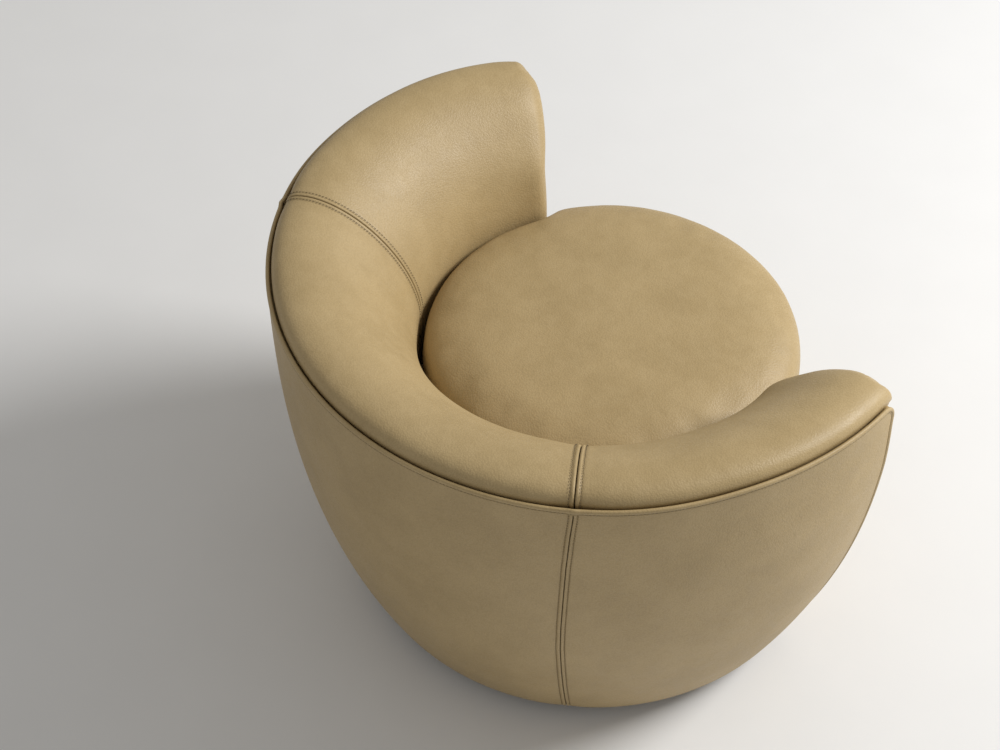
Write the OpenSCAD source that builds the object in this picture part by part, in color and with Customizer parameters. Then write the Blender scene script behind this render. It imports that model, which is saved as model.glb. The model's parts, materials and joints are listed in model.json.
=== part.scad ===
// Swivel tub chair: a round padded back in a tapered shell, a domed round seat cushion
// and a recessed plinth with a ball-bearing swivel. The chair faces -Y and its origin is
// on the floor, on the swivel's axis. Left and right are those of a person sitting in it.

/* [Shell] */
// Radius of the outer shell at its rim
shell_r = 425; // [410:1:440]
// Radius of the outer shell at its lower edge
shell_foot_r = 329; // [315:1:340]
// Height of the rim above the floor
rim_z = 569; // [555:1:585]
// How strongly the shell curves in towards its lower edge
shell_power = 2.5; // [2.2:0.1:2.8]
// Angle from the back's centre to the front end of each arm
arm_angle = 112.5; // [106:0.5:115]
// Angle from the back's centre to each seam
seam_angle = 49; // [43:1:53]

/* [Back cushion] */
// Radius of the cushion's inner face at the seat
inner_r = 239; // [232:1:244]
// Distance from the shell's rim in to the top of the roll
crown_inset = 38; // [34:1:44]
// Rise of the roll above the rim
crown_rise = 18; // [14:1:24]
// Distance from the shell's rim in to the roll's outer bulge
bulge_inset = 8.5; // [8:0.1:9.5]
// Depth below the rim at which the inner face becomes upright
face_drop = 160; // [145:1:170]
// Roundness of the inner face, where 2 is a true ellipse
face_power = 1.73; // [1.65:0.01:1.9]
// Radius of the top front corner of each arm
corner_r = 50; // [45:1:62]
// Width of the sewn channel at each seam, measured on the inner face
channel_w = 6; // [4:0.5:8]
// Depth of the sewn channel at each seam
channel_depth = 3; // [2:0.5:4]

/* [Seat cushion] */
// Largest radius of the seat cushion where it stands free in front
seat_r = 252; // [247:1:256]
// Distance that the seat's centre lies in front of the swivel's axis
seat_forward = 25; // [20:1:30]
// Height of the cushion's crown above the floor
seat_z = 440; // [430:1:450]
// Height of the crown above the cushion's fullest line
seat_dome = 55; // [48:1:62]
// Roundness of the cushion's shoulder, where 2 is a true ellipse
seat_power = 2.8; // [2.5:0.1:3.1]
// How far the cushion's side draws in at its foot
seat_draw = 6; // [4:1:8]

/* [Front drum] */
// Radius of the drum at its top
drum_r = 250; // [246:1:252]
// Radius of the drum at its lower edge
drum_foot_r = 236; // [228:1:240]
// Width of the leather turned in over the drum's top
flap_w = 22; // [16:1:26]

/* [Frame] */
// Thickness of the plywood ribs, posts, rail, ring and bottom board
ply_t = 18; // [15:1:19]
// Height of the shelf on the ribs, which carries the seat ring
shelf_z = 292; // [285:1:298]
// Height of the top rail's underside
rail_z = 500; // [490:1:504]
// Width of the top rail
rail_w = 85; // [79:1:92]
// Radius of the inner panel's front face at its foot
panel_foot_r = 300; // [292:1:306]
// Distance from the frame's outer face in to the ribs' front edge, at the top
rib_top_w = 71; // [66:1:74]
// Thickness of the bent panels
panel_t = 4; // [3:0.5:5]
// Radius of the hole in the seat ring
ring_hole_r = 180; // [172:1:186]
// Radius at which the ribs and posts begin
rib_in_r = 200; // [194:1:206]
// Angle between neighbouring ribs
rib_step = 37; // [34:1:40]

/* [Webbing] */
// Width of one strap
strap_w = 50; // [40:1:55]
// Thickness of one strap
strap_t = 2; // [1.5:0.5:2.5]
// Distance between the middles of neighbouring straps
strap_pitch = 70; // [64:1:72]
// Number of straps each way
strap_count = 5; // [3:2:5]
// How far the straps reach onto the seat ring
strap_lap = 30; // [24:1:32]

/* [Cover] */
// Thickness of the leather
leather_t = 2; // [1.5:0.1:2.5]
// Thickness of the padding under the outer leather
padding_t = 3; // [2:0.5:4]
// Thickness of the pad on the front of each arm
front_pad_t = 10; // [6:1:14]
// Diameter of the welt on the rim
welt_d = 5; // [4:0.5:6]
// Height of the space for the welt above the padding and the panel
welt_room = 12; // [10:1:14]
// Thickness of the strip that fastens the welt
welt_strip_t = 2.5; // [2:0.5:3]
// Width of the hem turned in under the shell
hem_w = 26; // [20:1:30]
// Thickness of the seat lining and of the dust cover
cloth_t = 1; // [0.6:0.1:1.4]

/* [Base] */
// Radius of the plinth
plinth_r = 220; // [205:1:230]
// Thickness of the plinth
plinth_t = 18; // [15:1:22]
// Thickness of the felt under the plinth
felt_t = 3; // [2:0.5:5]
// How far the felt stays inside the plinth's edge
felt_inset = 5; // [3:1:10]

/* [Swivel] */
// Radius of the two swivel plates
plate_r = 130; // [126:1:140]
// Thickness of each swivel plate
plate_t = 4; // [3.6:0.1:5]
// Gap between the two plates
plate_gap = 6; // [5.6:0.1:6.8]
// Radius of the circle on which the balls run
race_r = 95; // [88:1:98]
// Diameter of a ball
ball_d = 10; // [9.2:0.1:10]
// Number of balls
ball_count = 20; // [12:1:24]
// Width of the ball cage
cage_w = 20; // [16:1:22]
// Thickness of the ball cage
cage_t = 1.5; // [1:0.1:2]
// Radius of the centre pin
pin_r = 12; // [10:0.5:14]
// Radius of the heads at the pin's two ends
pin_head_r = 17; // [16:0.5:19]
// Thickness of the pin's heads
pin_head_t = 2.5; // [2:0.5:3]

/* [Fasteners] */
// Radius of the circle on which the plates are fastened
bolt_circle_r = 118; // [115:0.5:119]
// Number of bolts in the upper plate, and of screws in the lower one
bolt_count = 4; // [3:1:8]
// Diameter of a bolt
bolt_d = 6; // [5:0.5:7]
// Diameter of a bolt's head
bolt_head_d = 12; // [10:0.5:13]
// Height of a bolt's head
bolt_head_h = 3; // [2:0.5:4]
// Diameter of a tee nut's barrel
nut_d = 9; // [8:0.5:10]
// Diameter of a tee nut's flange
nut_flange_d = 20; // [16:1:24]
// Thickness of a tee nut's flange
nut_flange_t = 1.5; // [1:0.5:2]
// Diameter of a wood screw
screw_d = 4; // [3:0.5:5]
// Diameter of a wood screw's head
screw_head_d = 8; // [7:0.5:9]
// Height of a wood screw's head
screw_head_h = 2.5; // [2:0.5:3]
// Length of a screw in the frame, with its head
screw_l = 45; // [35:1:50]
// Length of a screw in the plinth, with its head
plinth_screw_l = 16; // [12:1:18]

/* [Hidden] */
$fn = 96;

gap = 0.3;           // clearance between neighbouring layers
running = 0.08;      // radial clearance of the swivel pin
ball_gap = 0.25;     // clearance of a ball in its races and in the cage
screw_gap = 0.1;     // clearance round screws, bolts and nuts, and under the pin's lower head
pin_room = 3;        // clearance round the pin's upper head, in the bottom board
pull = 1;            // how far a cutting shape runs past what it cuts
far = 2 * shell_r;   // longer than anything that is cut
least_step = 1;      // least height between two points of a face's outline
curve_step = 7.5;    // angle between the points of a rounded outline
first_bolt = 45;     // angle of the first bolt and screw of the plates

leather_colour = [0.70, 0.61, 0.44];
plywood_colour = [0.80, 0.68, 0.50];
foam_colour = [0.93, 0.90, 0.78];
cloth_colour = [0.25, 0.24, 0.23];
steel_colour = [0.62, 0.63, 0.65];
black_colour = [0.12, 0.12, 0.12];

// Levels, from the floor up
lower_plate_z = felt_t + plinth_t;
lower_race_z = lower_plate_z + plate_t;
ball_z = lower_race_z + plate_gap / 2;
upper_plate_z = lower_race_z + plate_gap;
body_z = upper_plate_z + plate_t;
hem_z = body_z - gap - leather_t;
board_top_z = body_z + ply_t;
ring_top_z = shelf_z + ply_t;
strap_top_z = ring_top_z + 2 * strap_t;
seat_foot_z = strap_top_z + gap;
seat_full_z = seat_z - seat_dome;
rail_top_z = rail_z + ply_t;
cushion_foot_z = ring_top_z + gap;
tuck_z = rail_top_z + leather_t;
stack_top_z = rim_z - welt_room;
cover_top_z = rim_z - welt_d - gap;
crown_z = rim_z + crown_rise;
corner_z = crown_z + leather_t / 2 - corner_r;

// Depths of the layers under the shell's outer face, and behind the arm's front
padding_in = leather_t + gap;
panel_in = padding_in + padding_t + gap;
frame_in = panel_in + panel_t + gap;
drum_frame_in = leather_t + gap + panel_t + gap;
front_in = leather_t + gap;
post_in = front_in + front_pad_t + gap;

// Radii of the back's frame and cushion
crown_r = shell_r - crown_inset;
bulge_r = shell_r - bulge_inset;
bulge_z = rim_z - welt_d / 2;
side_r = shell_r - frame_in;
rail_r = side_r - rail_w;
panel_top_r = side_r - rib_top_w - gap - panel_t;
ring_out_r = panel_foot_r + panel_t;

// Radii to which the straps reach, and beyond which they all lie down on the seat ring
strap_reach = ring_hole_r + strap_lap;
strap_down_r = ring_hole_r + strap_lap / 4;

// Length of a tee nut's barrel
nut_l = ply_t / 2;

/* The faces of the shell and of the drum: the radius grows from foot to top by a power. */
face_steps = 10;
function bowed(z0, z1, r0, r1) = [for (i = [0:face_steps]) let (t = i / face_steps)
    [z0 + (z1 - z0) * t, r0 + (r1 - r0) * (1 - pow(1 - t, shell_power))]];
shell_face = bowed(body_z, rim_z, shell_foot_r, shell_r);
drum_face = bowed(body_z, ring_top_z, drum_foot_r, drum_r);

function between(face, z0, z1) =
    concat([z0], [for (row = face) if (row[0] > z0 + least_step && row[0] < z1 - least_step) row[0]],
        [z1]);
function face_line(face, depth, z0, z1) =
    [for (z = between(face, z0, z1)) [lookup(z, face) - depth, z]];
function reversed(list) = [for (i = [len(list) - 1:-1:0]) list[i]];
function face_layer(face, depth, t, z0, z1) =
    concat(face_line(face, depth, z0, z1), reversed(face_line(face, depth + t, z0, z1)));

// A leather skin on such a face, with its hem turned in at the foot
function hemmed(face, z1) =
    concat(face_line(face, 0, hem_z, z1), reversed(face_line(face, leather_t, hem_z + leather_t, z1)),
        [[face[0][1] - hem_w, hem_z + leather_t], [face[0][1] - hem_w, hem_z]]);

/* A curve moved sideways by a distance, to the left of the way it runs */
function unit(v) = v / norm(v);
function left_of(p, q) = let (d = unit(q - p)) [-d[1], d[0]];
function moved(c, by) = [for (i = [0:len(c) - 1])
    let (before = i == 0 ? left_of(c[0], c[1]) : left_of(c[i - 1], c[i]),
         after = i == len(c) - 1 ? before : left_of(c[i], c[i + 1]))
    c[i] + by * unit(before + after)];
function layer(c, near, deep) = concat(moved(c, near), reversed(moved(c, deep)));

/* The back cushion's surface: up the tucked side, over the roll and down the inner face */
roll_curve = [for (a = [0:2 * curve_step:90 - 2 * curve_step])
    [crown_r + (bulge_r - crown_r) * cos(a), bulge_z + (crown_z - bulge_z) * sin(a)]];
face_curve = [for (a = [90:-curve_step:0])
    [crown_r - (crown_r - inner_r) * pow(cos(a), 2 / face_power),
     rim_z - face_drop + (crown_rise + face_drop) * pow(sin(a), 2 / face_power)]];
function cushion_line(more) = concat(
    [[side_r, tuck_z - more], [side_r, stack_top_z]],
    roll_curve, face_curve,
    [[inner_r, cushion_foot_z - more]]);

/* The seat cushion's surface, from its foot up to the crown on its own axis */
side_steps = 4;
seat_curve = concat(
    [for (i = [0:side_steps - 1]) let (t = i / side_steps)
        [seat_r - seat_draw * pow(1 - t, 2), seat_foot_z + (seat_full_z - seat_foot_z) * t]],
    [for (a = [0:curve_step:90])
        [seat_r * pow(cos(a), 2 / seat_power),
         seat_full_z + seat_dome * pow(sin(a), 2 / seat_power)]]);
function on_axis(c) = [for (p = c) [max(p[0], 0), p[1]]];

// The front face of the inner panel, which stands on the seat ring
function panel_line(depth, z0, z1) = [for (z = [z0, z1])
    [lookup(z, [[ring_top_z, panel_foot_r], [rail_z, panel_top_r]]) + depth, z]];

/* Sweeps about the chair's axis. Angles run from the +X axis, so the back is at 90. */
first_angle = 90 - arm_angle;
last_angle = 90 + arm_angle;
module sweep(from, to) {
    rotate([0, 0, from]) rotate_extrude(angle = to - from) children();
}

// X runs out along the arm's front end, and Y back into the arm
module at_end(side) {
    mirror([side < 0 ? 1 : 0, 0, 0]) rotate([0, 0, first_angle]) children();
}

// A shape of distance behind the arm's front and height, drawn out along the radius
module along_radius() {
    rotate([90, 0, 90]) linear_extrude(far) children();
}

module corner_outline(inset) {
    translate([inset, -far / 2]) square([far, far / 2 + corner_z]);
    translate([corner_r, corner_z]) circle(corner_r - inset);
    translate([corner_r, -far / 2]) square([far, far / 2 + corner_z + corner_r - inset]);
}

// Takes off what reaches past the front cover, along the front and round its corner
module trimmed(inset) {
    difference() {
        children();
        for (side = [-1, 1]) at_end(side) along_radius() difference() {
            translate([-pull, 0]) square([corner_r + gap + pull, far]);
            corner_outline(inset);
        }
    }
}

// Takes off what lies less than a distance behind the arms' fronts, up to a height
module set_back(distance, top) {
    difference() {
        children();
        for (side = [-1, 1]) at_end(side) along_radius()
            translate([-pull, 0]) square([distance + pull, top]);
    }
}

module arm_sweep(from, to) {
    sweep(max(from, first_angle), min(to, last_angle)) children();
}

/* Flat outlines: the region in front of both arm ends, and what lies inside the arms */
module in_front(distance) {
    intersection() {
        at_end(1) translate([-far, -far - distance]) square([2 * far, far]);
        at_end(-1) translate([-far, -far - distance]) square([2 * far, far]);
    }
}

module arm_blocks() {
    for (side = [-1, 1]) at_end(side)
        translate([inner_r - gap, -gap]) square([far, post_in + 2 * gap]);
}

// A round board inside the shell and the drum, with its edges bevelled to follow them
module inner_board(z0, z1) {
    difference() {
        rotate_extrude() polygon(concat([[0, z0]], face_line(shell_face, frame_in, z0, z1), [[0, z1]]));
        translate([0, 0, z0 - pull]) linear_extrude(z1 - z0 + 2 * pull) in_front(-post_in);
    }
    difference() {
        translate([0, -seat_forward, 0]) rotate_extrude()
            polygon(concat([[0, z0]], face_line(drum_face, drum_frame_in, z0, z1), [[0, z1]]));
        translate([0, 0, z0 - pull]) linear_extrude(z1 - z0 + 2 * pull) arm_blocks();
    }
}

/* Fasteners. A screw points up from z = 0, with its head at the bottom. */
module screw(l, more) {
    cylinder(r = screw_head_d / 2 + more, h = screw_head_h + more);
    cylinder(r = screw_d / 2 + more, h = l + more);
}

module round_pattern(count, r) {
    for (i = [0:count - 1]) rotate([0, 0, first_bolt + i * 360 / count]) translate([r, 0, 0]) children();
}

module plinth_screw_set(more) {
    round_pattern(bolt_count, bolt_circle_r)
        translate([0, 0, lower_race_z + more]) mirror([0, 0, 1]) screw(plinth_screw_l, more);
}

module plate_bolt_set(more) {
    round_pattern(bolt_count, bolt_circle_r) {
        translate([0, 0, upper_plate_z - bolt_head_h])
            cylinder(r = bolt_head_d / 2 + more, h = bolt_head_h);
        translate([0, 0, upper_plate_z - more])
            cylinder(r = bolt_d / 2 + more, h = plate_t + ply_t - gap + more);
    }
}

module tee_nut_set(more) {
    round_pattern(bolt_count, bolt_circle_r) {
        translate([0, 0, board_top_z]) cylinder(r = nut_flange_d / 2 + more, h = nut_flange_t);
        translate([0, 0, board_top_z - nut_l - more])
            cylinder(r = nut_d / 2 + more, h = nut_l + 2 * more);
    }
}

// The places of the ribs and posts, as [angle, distance behind that angle's radius]
post_y = post_in + ply_t / 2;
uprights = concat([for (i = [-2:2]) [90 + i * rib_step, 0]],
    [[first_angle, post_y], [last_angle, -post_y]]);
foot_screw_r = [rib_in_r + screw_l, shell_foot_r - frame_in - screw_l / 2];
ring_screw_r = (ring_out_r + inner_r) / 2;
rail_screw_r = (panel_top_r + shell_r - frame_in) / 2;

module at_uprights(r) {
    for (place = uprights) rotate([0, 0, place[0]]) translate([r, place[1], 0]) children();
}

module rib_screw_set(more) {
    for (r = foot_screw_r) at_uprights(r)
        translate([0, 0, body_z - more]) screw(screw_l, more);
}

module ring_screw_set(more) {
    at_uprights(ring_screw_r)
        translate([0, 0, ring_top_z + more]) mirror([0, 0, 1]) screw(screw_l, more);
}

module rail_screw_set(more) {
    at_uprights(rail_screw_r)
        translate([0, 0, rail_top_z + more]) mirror([0, 0, 1]) screw(screw_l, more);
}

/* Base, which stands still */
module floor_felt() {
    color(black_colour) cylinder(r = plinth_r - felt_inset, h = felt_t);
}

module plinth() {
    color(black_colour) difference() {
        translate([0, 0, felt_t]) cylinder(r = plinth_r, h = plinth_t);
        translate([0, 0, lower_plate_z - pin_head_t - gap])
            cylinder(r = pin_head_r + gap, h = pin_head_t + gap + pull);
        plinth_screw_set(screw_gap);
    }
}

module race(z) {
    translate([0, 0, z]) rotate_extrude() translate([race_r, 0]) circle(ball_d / 2 + ball_gap);
}

module lower_plate() {
    color(steel_colour) difference() {
        translate([0, 0, lower_plate_z]) cylinder(r = plate_r, h = plate_t);
        translate([0, 0, lower_plate_z - pull]) cylinder(r = pin_r + running, h = plate_t + 2 * pull);
        race(ball_z);
        plinth_screw_set(screw_gap);
    }
}

module plinth_screws() {
    color(steel_colour) plinth_screw_set(0);
}

/* Bearing, which turns at half the chair's speed */
module at_balls() {
    for (i = [0:ball_count - 1]) rotate([0, 0, i * 360 / ball_count])
        translate([race_r, 0, ball_z]) children();
}

module bearing_balls() {
    color(steel_colour) at_balls() sphere(ball_d / 2);
}

module ball_cage() {
    color(black_colour) difference() {
        translate([0, 0, ball_z - cage_t / 2]) rotate_extrude()
            translate([race_r - cage_w / 2, 0]) square([cage_w, cage_t]);
        at_balls() translate([0, 0, -ball_d / 2]) cylinder(r = ball_d / 2 + ball_gap, h = ball_d);
    }
}

/* Swivel plate and bottom of the chair's body. The pin turns with them in the lower plate. */
module swivel_pin() {
    foot_z = lower_plate_z - screw_gap - pin_head_t;
    color(steel_colour) {
        translate([0, 0, foot_z]) cylinder(r = pin_head_r, h = pin_head_t);
        translate([0, 0, foot_z]) cylinder(r = pin_r, h = body_z + pin_head_t - foot_z);
        translate([0, 0, body_z]) cylinder(r = pin_head_r, h = pin_head_t);
    }
}

module upper_plate() {
    color(steel_colour) difference() {
        translate([0, 0, upper_plate_z]) cylinder(r = plate_r, h = plate_t);
        translate([0, 0, upper_plate_z - pull]) cylinder(r = pin_r + running, h = plate_t + 2 * pull);
        race(ball_z);
        plate_bolt_set(screw_gap);
    }
}

module plate_bolts() {
    color(steel_colour) plate_bolt_set(0);
}

module tee_nuts() {
    color(steel_colour) difference() {
        tee_nut_set(0);
        plate_bolt_set(screw_gap);
    }
}

module bottom_board() {
    color(plywood_colour) difference() {
        inner_board(body_z, board_top_z);
        translate([0, 0, body_z - pull])
            cylinder(r = pin_head_r + pin_room, h = ply_t + 2 * pull);
        plate_bolt_set(screw_gap);
        tee_nut_set(screw_gap);
        rib_screw_set(screw_gap);
    }
}

module dust_cover() {
    color(cloth_colour) translate([0, 0, body_z - gap - cloth_t]) linear_extrude(cloth_t) difference() {
        union() {
            difference() {
                circle(shell_foot_r - hem_w - gap);
                in_front(-post_in);
            }
            translate([0, -seat_forward]) circle(drum_foot_r - hem_w - gap);
        }
        circle(plate_r + gap);
    }
}

/* Frame */
function upright_outline(slack) = concat(
    [[rib_in_r, board_top_z]],
    face_line(shell_face, frame_in + slack, board_top_z, rail_z),
    [[panel_top_r + panel_t + gap, rail_z], [ring_out_r + gap, ring_top_z],
     [ring_out_r + gap, shelf_z], [rib_in_r, shelf_z]]);

module upright(angle, y, slack) {
    color(plywood_colour) difference() {
        rotate([0, 0, angle]) translate([0, y + ply_t / 2, 0]) rotate([90, 0, 0])
            linear_extrude(ply_t) polygon(upright_outline(slack));
        rib_screw_set(screw_gap);
        ring_screw_set(screw_gap);
        rail_screw_set(screw_gap);
    }
}

// A post lies off its radius, so its outer edge draws in a little to stay inside the panel
post_slack = pow(post_in + ply_t, 2) / (2 * shell_foot_r);
module arm_post_left() {
    upright(first_angle, post_y, post_slack);
}

module arm_post_right() {
    upright(last_angle, -post_y, post_slack);
}

module rib_side_left() {
    upright(90 - 2 * rib_step, 0, gap);
}

module rib_rear_left() {
    upright(90 - rib_step, 0, gap);
}

module rib_back() {
    upright(90, 0, gap);
}

module rib_rear_right() {
    upright(90 + rib_step, 0, gap);
}

module rib_side_right() {
    upright(90 + 2 * rib_step, 0, gap);
}

module rib_screws() {
    color(steel_colour) rib_screw_set(0);
}

module top_rail() {
    color(plywood_colour) difference() {
        set_back(post_in, far) arm_sweep(first_angle, last_angle)
            polygon(concat(face_line(shell_face, frame_in, rail_z, rail_top_z),
                [[rail_r, rail_top_z], [rail_r, rail_z]]));
        rail_screw_set(screw_gap);
    }
}

module rail_screws() {
    color(steel_colour) rail_screw_set(0);
}

module seat_ring() {
    color(plywood_colour) difference() {
        intersection() {
            inner_board(shelf_z, ring_top_z);
            translate([0, 0, shelf_z - pull]) cylinder(r = ring_out_r, h = ply_t + 2 * pull);
        }
        translate([0, -seat_forward, shelf_z - pull]) cylinder(r = ring_hole_r, h = ply_t + 2 * pull);
        ring_screw_set(screw_gap);
    }
}

module ring_screws() {
    color(steel_colour) ring_screw_set(0);
}

module strap_outline(turn) {
    intersection() {
        circle(strap_reach);
        rotate([0, 0, turn]) for (i = [0:strap_count - 1])
            translate([-far, (i - (strap_count - 1) / 2) * strap_pitch - strap_w / 2])
                square([2 * far, strap_w]);
    }
}

module webbing_across() {
    color(cloth_colour) translate([0, -seat_forward, ring_top_z])
        linear_extrude(strap_t) strap_outline(0);
}

// Its straps cross over the others, and their ends fold down onto the seat ring
module webbing_lengthwise() {
    color(cloth_colour) translate([0, -seat_forward, ring_top_z]) {
        translate([0, 0, strap_t]) linear_extrude(strap_t) strap_outline(90);
        linear_extrude(strap_t) difference() {
            strap_outline(90);
            circle(strap_down_r);
            cross_straps();
        }
    }
}

// The straps that run across, with their clearance
module cross_straps() {
    for (i = [0:strap_count - 1])
        translate([-far, (i - (strap_count - 1) / 2) * strap_pitch - strap_w / 2 - gap])
            square([2 * far, strap_w + 2 * gap]);
}

module inner_panel() {
    color(plywood_colour) set_back(post_in, far) arm_sweep(first_angle, last_angle)
        polygon(concat(panel_line(0, cushion_foot_z, rail_z - gap),
            reversed(panel_line(panel_t, cushion_foot_z, rail_z - gap))));
}

/* Outer shell */
module outer_panel() {
    color(plywood_colour) trimmed(post_in) arm_sweep(first_angle, last_angle)
        polygon(face_layer(shell_face, panel_in, panel_t, body_z, stack_top_z));
}

module outer_padding() {
    color(foam_colour) trimmed(post_in) arm_sweep(first_angle, last_angle)
        polygon(face_layer(shell_face, padding_in, padding_t, body_z, stack_top_z));
}

seam_gap = atan(gap / shell_r);
module outer_cover(from, to) {
    color(leather_colour) trimmed(front_in) arm_sweep(from, to) polygon(hemmed(shell_face, cover_top_z));
}

module outer_cover_left() {
    outer_cover(first_angle, 90 - seam_angle - seam_gap);
}

module outer_cover_back() {
    outer_cover(90 - seam_angle + seam_gap, 90 + seam_angle - seam_gap);
}

module outer_cover_right() {
    outer_cover(90 + seam_angle + seam_gap, last_angle);
}

// A round cord on a neck, whose strip is fastened on top of the panel and its padding
module rim_welt() {
    neck_r = shell_r - padding_in - welt_strip_t;
    color(leather_colour) trimmed(front_in) arm_sweep(first_angle, last_angle) {
        translate([shell_r - welt_d / 2, rim_z - welt_d / 2]) circle(welt_d / 2);
        translate([neck_r, stack_top_z + gap])
            square([welt_strip_t, welt_room - gap - welt_d / 2]);
        translate([side_r + 2 * gap, stack_top_z + gap])
            square([neck_r + welt_strip_t - side_r - 2 * gap, welt_strip_t]);
    }
}

/* Back cushion */
channel_a = atan(channel_w / 2 / inner_r);
wall_a = atan(leather_t / inner_r);

module back_foam() {
    skin = leather_t + gap;
    color(foam_colour) difference() {
        set_back(post_in, tuck_z) trimmed(skin) arm_sweep(first_angle, last_angle)
            polygon(concat(
                [[side_r - skin, rail_top_z + gap]],
                moved(cushion_line(0), skin),
                panel_line(-gap, cushion_foot_z, rail_z - gap),
                [[rail_r - gap, rail_z - gap], [rail_r - gap, rail_top_z + gap]]));
        for (side = [-1, 1])
            sweep(90 + side * seam_angle - channel_a - wall_a - seam_gap,
                  90 + side * seam_angle + channel_a + wall_a + seam_gap)
                polygon(layer(cushion_line(skin + pull), -pull, channel_depth + skin));
    }
}

// One leather panel of the back, turned in at its seams to form the sewn channels
module back_cover(from, to, seam_from, seam_to) {
    start = from + (seam_from ? channel_a + wall_a : -pull);
    end = to - (seam_to ? channel_a + wall_a : -pull);
    turned_in = channel_depth + leather_t;
    color(leather_colour) trimmed(front_in) difference() {
        sweep(from + (seam_from ? seam_gap : 0), to - (seam_to ? seam_gap : 0))
            polygon(layer(cushion_line(0), 0, turned_in));
        sweep(start, end) polygon(layer(cushion_line(pull), leather_t, turned_in + pull));
        if (seam_from) channel(from - pull, from + channel_a);
        if (seam_to) channel(to - channel_a, to + pull);
    }
}

module channel(from, to) {
    sweep(from, to) polygon(layer(cushion_line(pull), -pull, channel_depth));
}

module back_cover_left() {
    back_cover(first_angle, 90 - seam_angle, false, true);
}

module back_cover_centre() {
    back_cover(90 - seam_angle, 90 + seam_angle, true, true);
}

module back_cover_right() {
    back_cover(90 + seam_angle, last_angle, true, false);
}

/* Front ends of the arms */
function arm_section(z0) = concat([[inner_r, z0]], face_line(shell_face, 0, z0, rim_z),
    roll_curve, face_curve);

// An angle that takes in the arm's rounded end
end_angle = 2 * atan(corner_r / inner_r);

// The sheet of the arm's front between two depths, inside the arm's section
module front_sheet(side, section, near, deep, reach, top) {
    intersection() {
        mirror([side < 0 ? 1 : 0, 0, 0]) sweep(first_angle, first_angle + end_angle)
            polygon(section);
        at_end(side) along_radius() difference() {
            intersection() {
                corner_outline(near);
                translate([-pull, 0]) square([reach + pull, top]);
            }
            corner_outline(deep);
        }
    }
}

module arm_front_cover(side) {
    color(leather_colour)
        front_sheet(side, arm_section(hem_z), 0, leather_t, corner_r, far);
}

module arm_front_pad(side) {
    skin = leather_t + gap;
    section = concat([[inner_r + skin, body_z]], face_line(shell_face, skin, body_z, stack_top_z - skin),
        moved(concat(roll_curve, face_curve, [[inner_r, cushion_foot_z]]), skin));
    color(foam_colour) front_sheet(side, section, front_in, post_in - gap, post_in, tuck_z - gap);
}

module arm_front_pad_left() {
    arm_front_pad(1);
}

module arm_front_pad_right() {
    arm_front_pad(-1);
}

module arm_front_cover_left() {
    arm_front_cover(1);
}

module arm_front_cover_right() {
    arm_front_cover(-1);
}

/* Front drum, between the arms and under the seat */
module drum_sweep() {
    intersection() {
        translate([0, -seat_forward, 0]) rotate_extrude() children();
        linear_extrude(crown_z) in_front(gap);
    }
}

module front_panel() {
    color(plywood_colour) drum_sweep()
        polygon(face_layer(drum_face, leather_t + gap, panel_t, body_z, ring_top_z));
}

module front_cover() {
    flap_z = ring_top_z + gap;
    color(leather_colour) drum_sweep() polygon(concat(
        face_line(drum_face, 0, hem_z, flap_z + leather_t),
        [[drum_r - flap_w, flap_z + leather_t], [drum_r - flap_w, flap_z]],
        reversed(face_line(drum_face, leather_t, hem_z + leather_t, flap_z)),
        [[drum_foot_r - hem_w, hem_z + leather_t], [drum_foot_r - hem_w, hem_z]]));
}

/* Seat cushion */
module seat_room(inset) {
    linear_extrude(crown_z) {
        circle(inner_r - gap - inset);
        in_front(gap + inset);
    }
}

module seat_form(inset, foot_z) {
    curve = on_axis(moved(seat_curve, inset));
    intersection() {
        translate([0, -seat_forward, 0]) rotate_extrude()
            polygon(concat([[0, foot_z], [curve[0][0], foot_z]], curve));
        seat_room(inset);
    }
}

module seat_lining() {
    skin = leather_t + gap;
    color(cloth_colour) intersection() {
        translate([0, -seat_forward, seat_foot_z])
            cylinder(r = seat_r - seat_draw - skin, h = cloth_t);
        seat_room(skin);
    }
}

module seat_foam() {
    skin = leather_t + gap;
    color(foam_colour) difference() {
        seat_form(skin, seat_foot_z);
        translate([0, 0, seat_foot_z - pull]) cylinder(r = far, h = cloth_t + gap + pull);
    }
}

module seat_cover() {
    color(leather_colour) difference() {
        seat_form(0, seat_foot_z);
        seat_form(leather_t, seat_foot_z - pull);
    }
}

floor_felt();
plinth();
lower_plate();
plinth_screws();
bearing_balls();
ball_cage();
swivel_pin();
upper_plate();
plate_bolts();
tee_nuts();
bottom_board();
dust_cover();
arm_post_left();
rib_side_left();
rib_rear_left();
rib_back();
rib_rear_right();
rib_side_right();
arm_post_right();
rib_screws();
top_rail();
rail_screws();
seat_ring();
ring_screws();
webbing_across();
webbing_lengthwise();
inner_panel();
outer_panel();
outer_padding();
outer_cover_left();
outer_cover_back();
outer_cover_right();
rim_welt();
back_foam();
back_cover_left();
back_cover_centre();
back_cover_right();
arm_front_pad_left();
arm_front_pad_right();
arm_front_cover_left();
arm_front_cover_right();
front_panel();
front_cover();
seat_lining();
seat_foam();
seat_cover();
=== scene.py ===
"""Looks of the swivel tub chair: its leather, seams and stitching, cushions, base and frame.

Sizes are in metres. The chair faces -Y and its origin is on the floor, on the swivel's axis.
"""

import json
import math

import bpy
import numpy as np
from mathutils import Matrix, Vector


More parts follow.
